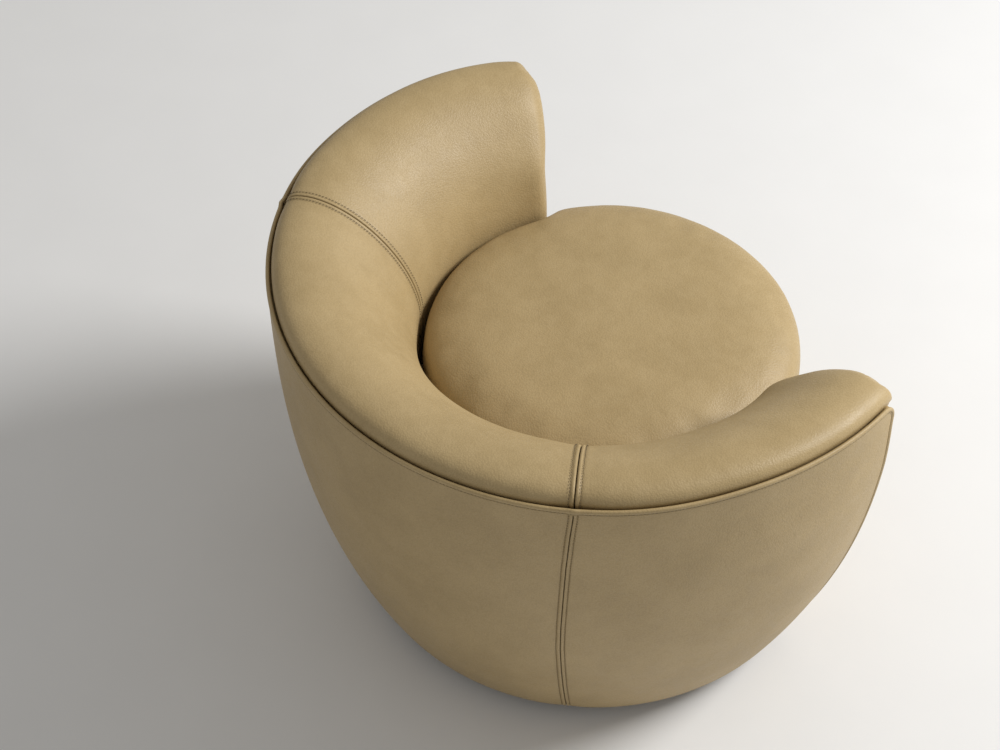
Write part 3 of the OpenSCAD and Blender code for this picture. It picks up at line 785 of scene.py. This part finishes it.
def seat_limit(x, y):
    """The largest radius that the back and the arms leave to the seat at a place."""
    c, s = math.cos(FIRST), math.sin(FIRST)
    behind = -np.abs(x) * s + y * c
    in_edge = np.clip(EDGE_R - behind, 0, EDGE_R)
    beside = INNER_R + EDGE_R - np.sqrt(EDGE_R ** 2 - in_edge ** 2)
    return np.where(behind < 0, 0.5, beside) - SEAT_GAP


def held_in(points, soft):
    """Keeps the seat inside the back and the arms, with a soft turn where they meet."""
    x, y = points[:, 0], points[:, 1]
    r = np.hypot(x, y)
    limit = seat_limit(x, y)
    over = (r - limit) / soft
    squeezed = r - soft * np.log1p(np.exp(np.clip(over, -30, 30)))
    scale = np.where(r > 1e-6, squeezed / np.maximum(r, 1e-6), 1)
    return np.stack([x * scale, y * scale, points[:, 2]], axis=1)


def make_seat():
    """A crowned cushion: a ball drawn into shape, blown up as cloth and smoothed."""
    deselect()
    bpy.ops.mesh.primitive_uv_sphere_add(segments=128, ring_count=72, radius=1)
    seat = new_piece("seat_cushion")
    ball = points_of(seat)
    level = np.arcsin(np.clip(ball[:, 2], -1, 1))
    round_at = np.arctan2(ball[:, 1], ball[:, 0])
    power = np.where(level > 0, 2 / SEAT_POWER, 2 / SEAT_FOOT_POWER)
    r = (SEAT_R + SEAT_EASE) * np.cos(level) ** power
    up = (SEAT_CROWN_Z + SEAT_RISE - SEAT_FULL_Z) * np.abs(np.sin(level)) ** power
    down = (SEAT_FULL_Z - SEAT_FOOT_Z) * np.abs(np.sin(level)) ** power
    z = SEAT_FULL_Z + np.where(level > 0, up, -down)
    z = np.where(level > 0, z, np.maximum(z, SEAT_FOOT_Z))
    place_points(seat, held_in(spun(r, round_at, z, SEAT_Y), 0.004))
    finish_with(seat, "REMESH", mode="VOXEL", voxel_size=SEAT_VOXEL)
    puff(seat, pinned_below=SEAT_FOOT_Z + 0.012, cap=SEAT_PUFF)
    finish_with(seat, "SMOOTH", factor=0.5, iterations=24)
    finish_with(seat, "SUBSURF", levels=1, render_levels=1)
    points = held_in(points_of(seat), 0.0012)
    points[:, 2] = np.clip(points[:, 2], SEAT_FOOT_Z, SEAT_CROWN_Z + 0.004)
    place_points(seat, points)
    mark_points(seat, "seam_shade", np.zeros(len(points)))
    only(seat)
    bpy.ops.object.shade_smooth()
    return seat


CLOTH = {"quality": 6, "mass": 0.4, "tension_stiffness": 40, "compression_stiffness": 40,
         "shear_stiffness": 20, "bending_stiffness": 2, "use_pressure": True,
         "uniform_pressure_force": 4, "vertex_group_mass": "held"}


def puff(piece, pinned_below, cap, frames=20):
    """Blows a closed cushion up as cloth, holding its underside, and caps how far it moves."""
    before = points_of(piece)
    held = piece.vertex_groups.new(name="held")
    low = [int(n) for n in np.flatnonzero(before[:, 2] < pinned_below)]
    held.add(low, 1.0, "REPLACE")
    only(piece)
    cloth = piece.modifiers.new("Cloth", "CLOTH")
    for key, value in CLOTH.items():
        setattr(cloth.settings, key, value)
    cloth.settings.effector_weights.gravity = 0
    cloth.collision_settings.use_collision = False
    cloth.point_cache.frame_start, cloth.point_cache.frame_end = 1, frames
    for number in range(1, frames + 1):
        bpy.context.scene.frame_set(number)
    bpy.ops.object.modifier_apply(modifier=cloth.name)
    bpy.context.scene.frame_set(1)
    move = points_of(piece) - before
    far = np.linalg.norm(move, axis=1)[:, None]
    place_points(piece, before + move * np.minimum(1, cap / np.maximum(far, 1e-9)))
    piece.vertex_groups.clear()


# Stitches

def make_stitch():
    """One plump thread stitch, lying along X, its ends pulled down into the leather."""
    deselect()
    bpy.ops.mesh.primitive_cylinder_add(vertices=6, radius=STITCH_R, depth=STITCH_LENGTH,
                                        end_fill_type="TRIFAN", rotation=(0, math.pi / 2, 0))
    stitch = settle(new_piece("stitch"))
    for at in (-0.0008, 0.0008):
        edit(stitch, lambda: bpy.ops.mesh.bisect(plane_co=(at, 0, 0), plane_no=(1, 0, 0)))
    points = points_of(stitch)
    along = np.abs(points[:, 0]) / (STITCH_LENGTH / 2)
    slim = 1 - 0.45 * along ** 3
    points[:, 1] *= slim
    points[:, 2] = points[:, 2] * slim - 0.0006 * along ** 4
    place_points(stitch, points)
    bpy.ops.object.shade_smooth()
    return stitch


def sew(name, stitch, places, ways, outs, lean=0.14):
    """A row of copies of the stitch: where each lies, the way that it runs and the way out."""
    row = []
    for place, way, out in zip(places, ways, outs):
        copy = stitch.copy()
        copy.data = stitch.data.copy()
        bpy.context.collection.objects.link(copy)
        out = Vector(out).normalized()
        way = Vector(way)
        way = (way - out * way.dot(out)).normalized()
        turned = Matrix.Rotation(lean, 3, out) @ way
        axes = Matrix((turned, out.cross(turned), out)).transposed().to_4x4()
        copy.data.transform(Matrix.Translation(Vector(place)) @ axes)
        row.append(copy)
    return joined(row, name)


def sew_along(name, stitch, points, facing_out):
    """Sews stitches at an even pitch along a line of points that face a way."""
    run = run_of(points)
    at = np.arange(STITCH_PITCH / 2, run[-1], STITCH_PITCH)
    places = read_at(at, run, points)
    ways = read_at(at + 0.0005, run, points) - places
    return sew(name, stitch, places, ways, read_at(at, run, facing_out))


def seam_rows(stitch, name, line, out, distance, lift, bow=0.0):
    """The two rows of stitches on either side of each of the two seams."""
    rows = []
    for towards, label in ((1, "left"), (-1, "right")):
        for side in (-1, 1):
            angle = math.pi / 2 - towards * (HALF_BACK - bow) + side * distance / line[:, 0]
            rows.append(sew_along(f"{name}_{label}_{side}", stitch,
                                  turned_round(line + lift * out, angle), turned_round(out, angle)))
    return joined(rows, name)


def rim_row(stitch):
    """The row of stitches along the binding, round both sides."""
    flat, way_in = rim_path()
    y, z = (flat + BINDING_STITCH * way_in).T
    path = shell_point(y, z, 0.0006)
    above = shell_point(y, z, 0.0106)
    half = sew_along("binding_stitches_half", stitch, path, above - path)
    return both_sides(half, "binding_stitches")


def drum_row(stitch):
    """The row of stitches that holds the drum's leather below its top edge."""
    z = DRUM_TOP_Z - DRUM_STITCH
    r = float(drum_radius(z)) + 0.0001
    angle = np.linspace(math.radians(-171), math.radians(-9), 400)
    path = spun(r, angle, z, SEAT_Y)
    return sew_along("drum_stitches", stitch, path, path - np.array([0, SEAT_Y, z]))


# Base and hidden cloths

def make_felt():
    """The felt disc under the plinth, with its edge a little rounded."""
    low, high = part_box("floor_felt")
    deselect()
    bpy.ops.mesh.primitive_cylinder_add(vertices=128, radius=(high.x - low.x) / 2, depth=high.z - low.z,
                                        location=(0, 0, (low.z + high.z) / 2))
    felt = settle(new_piece("felt_pad"))
    finish_with(felt, "BEVEL", width=0.0009, segments=2, limit_method="ANGLE")
    bpy.ops.object.shade_smooth_by_angle(angle=math.radians(35))
    return felt


def hem_edge(radius, clear=0.0006):
    """The radius just inside the turned hem's inner edge."""
    return float(radius(HEM_Z)) - HEM_W - clear


def underside_reach(c, s):
    """How far out the hem leaves the underside open, towards a cosine and a sine."""
    front = SEAT_Y * s + np.sqrt(hem_edge(drum_radius) ** 2 - (SEAT_Y * c) ** 2)
    past_arm = -np.abs(c) * math.sin(FIRST) + s * math.cos(FIRST)
    return np.where(past_arm > 0.035, hem_edge(shell_radius), front)


def make_dust_cover():
    """The black cloth stapled under the body, open round the swivel plate, and its area."""
    low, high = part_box("dust_cover")
    hole_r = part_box("upper_plate")[1].x + 0.0006
    columns, rings = 160, 7
    angle = np.arange(columns) * 2 * math.pi / columns
    reach = underside_reach(np.cos(angle), np.sin(angle))
    share = np.linspace(0, 1, rings)[:, None]
    r = hole_r + (reach - hole_r) * share
    sag = 0.0005 * np.sin(share * math.pi) * np.ones(columns)
    z = (low.z + high.z) / 2 - sag
    cover, i, j = grid("underside_cloth", columns + 1, rings)
    i = i % columns
    place_points(cover, spun(r[j, i], angle[i], z[j, i]))
    closed(cover)
    finish_with(cover, "SOLIDIFY", thickness=0.0005, offset=0)
    bpy.ops.object.shade_smooth()
    return cover, float(np.pi * ((reach ** 2).mean() - hole_r ** 2))


def make_staples(count=40):
    """The staples along the cloth's edge."""
    low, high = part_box("dust_cover")
    deselect()
    bpy.ops.mesh.primitive_cube_add(size=1, scale=(0.0105, 0.0011, 0.0006))
    staple = settle(new_piece("staple"))
    finish_with(staple, "BEVEL", width=0.0002, segments=1)
    edge_r = hem_edge(shell_radius, 0.008)
    angles = np.linspace(math.radians(-8), math.radians(188), count)
    places = spun(edge_r, angles, low.z - 0.0001)
    ways = spun(1, angles + math.pi / 2 + 0.5, 0)
    staples = sew("staples", staple, places, ways, [(0, 0, -1)] * count)
    bpy.data.objects.remove(staple)
    return staples


def make_straps(name, node, lengthwise):
    """One layer of the seat's webbing, stretched over the seat ring's hole, and its whole length."""
    low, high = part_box(node)
    straps, total = [], 0
    for number in range(-2, 3):
        offset = number * STRAP_PITCH
        half = math.sqrt(STRAP_REACH ** 2 - (abs(offset) + STRAP_W / 2) ** 2)
        total += 2 * half
        strap = grid(f"{name}_{number + 3}", 61, 5)[0]
        x, y = (points_of(strap)[:, :2] * (half, STRAP_W / 2)).T
        if lengthwise:
            level = high.z - STRAP_WALL / 2 - 0.0001 - 0.002 * smooth((np.abs(x) - 0.186) / 0.012)
            place_points(strap, np.stack([y + offset, SEAT_Y + x, level], axis=1))
        else:
            level = np.full(len(x), low.z + STRAP_WALL / 2 + 0.0001)
            place_points(strap, np.stack([x, SEAT_Y + y + offset, level], axis=1))
        straps.append(finish_with(strap, "SOLIDIFY", thickness=STRAP_WALL, offset=0))
    return edit(joined(straps, name), face_outwards), total


# Materials

class Value:
    """A number in a shader. A sum on it adds the Math nodes that it needs."""

    def __init__(self, finish, socket):
        self.finish = finish
        self.socket = socket

    def worked(self, operation, first, second):
        return self.finish.node("ShaderNodeMath", {"operation": operation}, {0: first, 1: second})

    def __add__(self, other):
        return self.worked("ADD", self, other)

    def __radd__(self, other):
        return self.worked("ADD", other, self)

    def __sub__(self, other):
        return self.worked("SUBTRACT", self, other)

    def __rsub__(self, other):
        return self.worked("SUBTRACT", other, self)

    def __mul__(self, other):
        return self.worked("MULTIPLY", self, other)

    def __rmul__(self, other):
        return self.worked("MULTIPLY", other, self)


class Finish:
    """A procedural material on one Principled shader."""

    def __init__(self, name, **constants):
        self.material = bpy.data.materials.new(name)
        self.material.use_nodes = True
        self.tree = self.material.node_tree
        self.shader = self.tree.nodes["Principled BSDF"]
        for key, value in constants.items():
            self.shader.inputs[key.replace("_", " ")].default_value = value

    def node(self, kind, settings, inputs, output=0):
        node = self.tree.nodes.new(kind)
        for key, value in settings.items():
            setattr(node, key, value)
        for key, value in inputs.items():
            self.feed(node.inputs[key], value)
        return Value(self, node.outputs[output])

    def feed(self, target, value):
        if isinstance(value, Value):
            self.tree.links.new(value.socket, target)
        else:
            target.default_value = value

    def place(self, scale=(1, 1, 1)):
        """The point on the piece, stretched along its axes."""
        here = self.node("ShaderNodeTexCoord", {}, {}, "Object")
        return self.node("ShaderNodeMapping", {}, {"Vector": here, "Scale": scale})

    def noise(self, place, scale, detail=2.0, roughness=0.5):
        return self.node("ShaderNodeTexNoise", {}, {"Vector": place, "Scale": scale, "Detail": detail,
                                                    "Roughness": roughness})

    def cells(self, place, scale):
        return self.node("ShaderNodeTexVoronoi", {"feature": "F1"}, {"Vector": place, "Scale": scale})

    def bands(self, place, way, scale, distortion, profile="SIN"):
        return self.node("ShaderNodeTexWave", {"wave_type": "BANDS", "bands_direction": way,
                                               "wave_profile": profile},
                         {"Vector": place, "Scale": scale, "Distortion": distortion})

    def between(self, value, low, high):
        """A value's range from low to high carried to 0 to 1, with soft ends."""
        return self.node("ShaderNodeMapRange", {"interpolation_type": "SMOOTHSTEP"},
                         {"Value": value, "From Min": low, "From Max": high})

    def mix(self, share, first, second):
        """Two colours mixed, each a link or its red, green and blue."""
        first, second = (c if isinstance(c, Value) else (*c, 1) for c in (first, second))
        return self.node("ShaderNodeMix", {"data_type": "RGBA"}, {0: share, 6: first, 7: second}, 2)

    def bump(self, height, distance, strength=1.0, under=None):
        inputs = {"Height": height, "Distance": distance, "Strength": strength}
        if under is not None:
            inputs["Normal"] = under
        return self.node("ShaderNodeBump", {}, inputs)

    def wear(self, colour=None, roughness=None, normal=None):
        """Sends what varies to the shader."""
        for key, value in (("Base Color", colour), ("Roughness", roughness), ("Normal", normal)):
            if value is not None:
                self.feed(self.shader.inputs[key], value)
        return self.material


def leather():
    """Pebbled, semi-matt olive-sand leather, with painted shade darkening its seams and rows of
    stitches.
    """
    f = Finish("sand_leather", IOR=1.45, Specular_IOR_Level=0.5)
    here = f.place()
    wander = f.node("ShaderNodeTexNoise", {}, {"Vector": here, "Scale": 160, "Detail": 1.0}, "Color")
    bent = f.node("ShaderNodeVectorMath", {"operation": "MULTIPLY_ADD"},
                  {0: wander, 1: (0.0016, 0.0016, 0.0016), 2: here})
    pebble = f.cells(bent, 430)
    small = f.cells(bent, 1050)
    pores = f.noise(here, 2600, 2.0)
    cloud = f.noise(here, 11, 3.0, 0.6)
    patch = f.noise(here, 46, 3.0, 0.6)
    seam_shade = f.node("ShaderNodeAttribute", {"attribute_name": "seam_shade"}, {}, "Fac")
    base = f.mix(f.between(cloud, 0.30, 0.72), (0.392, 0.284, 0.134), (0.442, 0.324, 0.158))
    base = f.mix(f.between(patch, 0.40, 0.66) * 0.22, base, (0.485, 0.364, 0.188))
    valley = f.between(pebble, 0.25, 0.80) * 0.15 + f.between(pores, 0.55, 0.75) * 0.05
    base = f.mix(valley, base, (0.215, 0.145, 0.062))
    # Painted shade: the seams and their rows of stitches darkened towards near-black.
    base = f.mix(seam_shade * 0.88, base, (0.042, 0.028, 0.013))
    rough = 0.44 + f.between(patch, 0.35, 0.65) * 0.06 + valley * 0.35 + seam_shade * 0.25
    height = 1.0 - pebble * 0.9 - small * 0.35 + pores * 0.18
    normal = f.bump(height, 0.00030, 0.85)
    soft = f.bump(f.noise(here, 62, 2.0), 0.0009, 0.35, under=normal)
    return f.wear(base, rough, soft)


def thread(name, dark, pale):
    """Sewing thread, with painted shade where its strands turn in."""
    f = Finish(name, Specular_IOR_Level=0.35)
    twist = f.bands(f.place(), "DIAGONAL", 620, 0.4)
    # Painted shade: the thread darker in the grooves of its twist.
    base = f.mix(twist, dark, pale)
    return f.wear(base, 0.6 + twist * 0.1, f.bump(twist, 0.0001, 0.6))


def plywood():
    """Birch plywood: pale faces with fine grain, and its layers on the edges."""
    f = Finish("birch_plywood", Specular_IOR_Level=0.3)
    grain = f.noise(f.place((6, 90, 90)), 3.5, 6.0, 0.62)
    ring = f.noise(f.place((1.2, 9, 9)), 4.0, 3.0, 0.5)
    layers = f.bands(f.place(), "Z", 110, 0.25, "SAW")
    base = f.mix(f.between(grain, 0.3, 0.75), (0.560, 0.395, 0.220), (0.720, 0.560, 0.365))
    base = f.mix(f.between(ring, 0.4, 0.62) * 0.4, base, (0.640, 0.450, 0.260))
    base = f.mix(f.between(layers, 0.72, 0.95) * 0.35, base, (0.330, 0.205, 0.100))
    return f.wear(base, 0.62 + grain * 0.16, f.bump(grain, 0.0003, 0.5))


def zinc(name, tint, dull):
    """Plated steel with a fine mottle and rubbed patches."""
    f = Finish(name, Metallic=1.0)
    here = f.place()
    mottle = f.noise(here, 240, 4.0, 0.6)
    rub = f.noise(here, 26, 3.0, 0.6)
    low = tuple(c * 0.72 for c in tint)
    base = f.mix(f.between(mottle, 0.3, 0.7), low, tint)
    return f.wear(base, dull + f.between(rub, 0.35, 0.7) * 0.16, f.bump(mottle, 0.00008, 0.4))


def cage_plastic():
    """Moulded black plastic with a fine grain."""
    f = Finish("black_cage_plastic", Specular_IOR_Level=0.45)
    grain = f.noise(f.place(), 1500, 3.0)
    base = f.mix(grain, (0.010, 0.010, 0.011), (0.022, 0.022, 0.023))
    return f.wear(base, 0.42 + grain * 0.12, f.bump(grain, 0.00008, 0.5))


def plinth_paint():
    """Black paint on board, a little rough, with dust-grey rubbed patches."""
    f = Finish("black_plinth_paint", Specular_IOR_Level=0.4)
    here = f.place()
    peel = f.noise(here, 420, 3.0)
    rub = f.noise(here, 22, 4.0, 0.65)
    base = f.mix(f.between(rub, 0.55, 0.8) * 0.5, (0.012, 0.011, 0.010), (0.040, 0.037, 0.033))
    return f.wear(base, 0.50 + f.between(rub, 0.4, 0.7) * 0.14, f.bump(peel, 0.0002, 0.5))


def fibres(name, dark, light, scale):
    """Felt or bonded cloth: fibres lying every way."""
    f = Finish(name, Specular_IOR_Level=0.2)
    first = f.noise(f.place((1, 5, 2)), scale, 6.0, 0.7)
    second = f.noise(f.place((5, 1, 2)), scale, 6.0, 0.7)
    cloud = f.noise(f.place(), 30, 3.0)
    mess = first * 0.5 + second * 0.5
    base = f.mix(f.between(mess, 0.35, 0.65), dark, light)
    base = f.mix(cloud * 0.25, base, dark)
    return f.wear(base, 0.92, f.bump(mess, 0.0004, 0.8))


def webbing():
    """Elastic webbing: black, ribbed along its length, with a fine cross weave."""
    f = Finish("black_webbing", Specular_IOR_Level=0.25)
    here = f.place()
    weave = f.bands(here, "X", 160, 0.1) * 0.5 + f.bands(here, "Y", 160, 0.1) * 0.5
    base = f.mix(weave, (0.016, 0.014, 0.012), (0.060, 0.052, 0.044))
    return f.wear(base, 0.78 + weave * 0.12, f.bump(weave, 0.0004, 0.7))


def paint(piece, material):
    """Gives a piece one material in place of all that it had."""
    piece.data.materials.clear()
    piece.data.materials.append(material)


def finish_frame(materials):
    """Better materials for the CAD nodes that stay, by the record's slots."""
    for part in frame["record"]["subparts"]:
        if part["material_slot"] in materials:
            for slot in frame["nodes"][part["node"]].material_slots:
                slot.material = materials[part["material_slot"]]


# Room, lights and camera

def make_floor():
    """A plain pale floor, seen as an even light ground with the chair's shadow on it."""
    deselect()
    bpy.ops.mesh.primitive_plane_add(size=40, location=(0, 0, 0))
    floor = settle(new_piece("floor"))
    f = Finish("pale_floor", Roughness=0.9, Specular_IOR_Level=0.1)
    speck = f.noise(f.place(), 9, 3.0)
    paint(floor, f.wear(f.mix(speck, (0.78, 0.775, 0.765), (0.81, 0.805, 0.795))))


def hang(data, place, ahead):
    """Puts a lamp or the camera in its place, facing a way."""
    holder = bpy.data.objects.new(data.name, data)
    holder.location = place
    holder.rotation_euler = ahead.to_track_quat("-Z", "Y").to_euler()
    bpy.context.collection.objects.link(holder)
    return holder


def light_room():
    """Plain soft light from all round, and one wide lamp before the chair."""
    world = bpy.data.worlds.new("room")
    world.use_nodes = True
    background = world.node_tree.nodes["Background"].inputs
    background["Color"].default_value = (1, 0.99, 0.97, 1)
    background["Strength"].default_value = 0.42
    bpy.context.scene.world = world
    lamp = bpy.data.lights.new("key", "AREA")
    lamp.shape, lamp.size, lamp.energy = "DISK", 1.7, 190
    place = Vector((-1.5, -3.1, 3.0))
    hang(lamp, place, Vector((0, 0, 0.4)) - place)


def set_camera():
    """The camera at the photograph's viewpoint, and plain colours for the picture."""
    across = Vector(CAMERA_ACROSS) * math.cos(CAMERA_TILT)
    camera = bpy.data.cameras.new("camera")
    camera.sensor_width, camera.lens = 36, CAMERA_LENS
    ahead = across - Vector((0, 0, math.sin(CAMERA_TILT)))
    bpy.context.scene.camera = hang(camera, CAMERA_PLACE, ahead)
    bpy.context.scene.view_settings.view_transform = "Standard"


# Putting the chair together

def fit(piece, body, material, slot, *nodes):
    """Finishes a piece: its material, its body, and the CAD nodes that it stands for."""
    paint(piece, material)
    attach(piece, body)
    if nodes:
        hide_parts(*nodes)
    return piece


def upholster(piece, finish, fill, *nodes):
    """Finishes a padded piece of leather."""
    fit(piece, "chair", finish, "leather", *nodes)


def dress_back(hide_finish, thread_finish, stitch):
    left, right = make_side_panels(ArmSection())
    for panel, side in ((left, "left"), (right, "right")):
        upholster(panel, hide_finish, 0.95, f"back_cover_{side}", f"arm_front_cover_{side}",
                  f"arm_front_pad_{side}")
    upholster(make_back_panel(), hide_finish, 0.95, "back_cover_centre", "back_foam")
    line = back_line()
    seen = line[:, 1] > BACK_STITCH_Z
    rows = seam_rows(stitch, "back_stitches", line[seen], facing(line)[seen], STITCH_OUT, -0.0006)
    fit(rows, "chair", thread_finish, "leather")


def dress_shell(hide_finish, thread_finish, board_finish, stitch):
    fit(make_board(), "chair", board_finish, "plywood", "outer_panel")
    left, middle, right = make_shell_panels()
    upholster(left, hide_finish, 1.0, "outer_cover_left")
    upholster(middle, hide_finish, 1.0, "outer_cover_back", "outer_padding")
    upholster(right, hide_finish, 1.0, "outer_cover_right")
    line = shell_line(0.0095)
    seen = line[:, 1] > HEM_TURN_Z
    rows = seam_rows(stitch, "shell_stitches", line[seen], facing(line)[seen], STITCH_OUT * OUTER_SCALE,
                     -0.0002, seam_bow(line[seen, 1]))
    fit(rows, "chair", thread_finish, "leather")
    upholster(make_binding(), hide_finish, 1.0, "rim_welt")
    fit(rim_row(stitch), "chair", thread_finish, "leather")
    upholster(make_front_leather(), hide_finish, 1.0, "front_cover")
    fit(drum_row(stitch), "chair", thread_finish, "leather")


def dress_seat(hide_finish, cloth_finish):
    upholster(make_seat(), hide_finish, 0.9, "seat_cover", "seat_foam", "seat_lining")
    for way in ("across", "lengthwise"):
        node = f"webbing_{way}"
        layer, total = make_straps(f"straps_{way}", node, way == "lengthwise")
        fit(layer, "chair", cloth_finish, "webbing", node)


def dress_base(materials):
    fit(make_felt(), "base", materials["felt"], "felt", "floor_felt")
    cover, area = make_dust_cover()
    fit(cover, "chair", materials["dust_cloth"], "dust_cloth", "dust_cover")
    width = 2 * hem_edge(shell_radius, 0)
    fit(make_staples(), "chair", materials["fastener_steel"], "fastener_steel")


def main():
    materials = {
        "plywood": plywood(),
        "plate_steel": zinc("plated_steel", (0.62, 0.63, 0.64), 0.30),
        "fastener_steel": zinc("fastener_zinc", (0.70, 0.68, 0.62), 0.26),
        "cage_plastic": cage_plastic(),
        "plinth_black": plinth_paint(),
        "felt": fibres("dark_felt", (0.020, 0.019, 0.018), (0.075, 0.072, 0.068), 520),
        "dust_cloth": fibres("black_bonded_cloth", (0.010, 0.010, 0.010), (0.030, 0.030, 0.030), 900),
        "webbing": webbing(),
    }
    finish_frame(materials)
    hide_finish = leather()
    # The inner seams' thread, darker than the shell's: partly its own brown, partly painted shade of
    # the needle holes.
    thread_finish = thread("inner_seam_thread_with_painted_shade", (0.095, 0.066, 0.032), (0.185, 0.134, 0.068))
    shell_thread = thread("shell_thread", (0.175, 0.125, 0.061), (0.290, 0.214, 0.110))
    stitch = make_stitch()
    dress_back(hide_finish, thread_finish, stitch)
    dress_shell(hide_finish, shell_thread, materials["plywood"], stitch)
    dress_seat(hide_finish, materials["webbing"])
    dress_base(materials)
    bpy.data.objects.remove(stitch)
    make_floor()
    light_room()
    set_camera()


main()
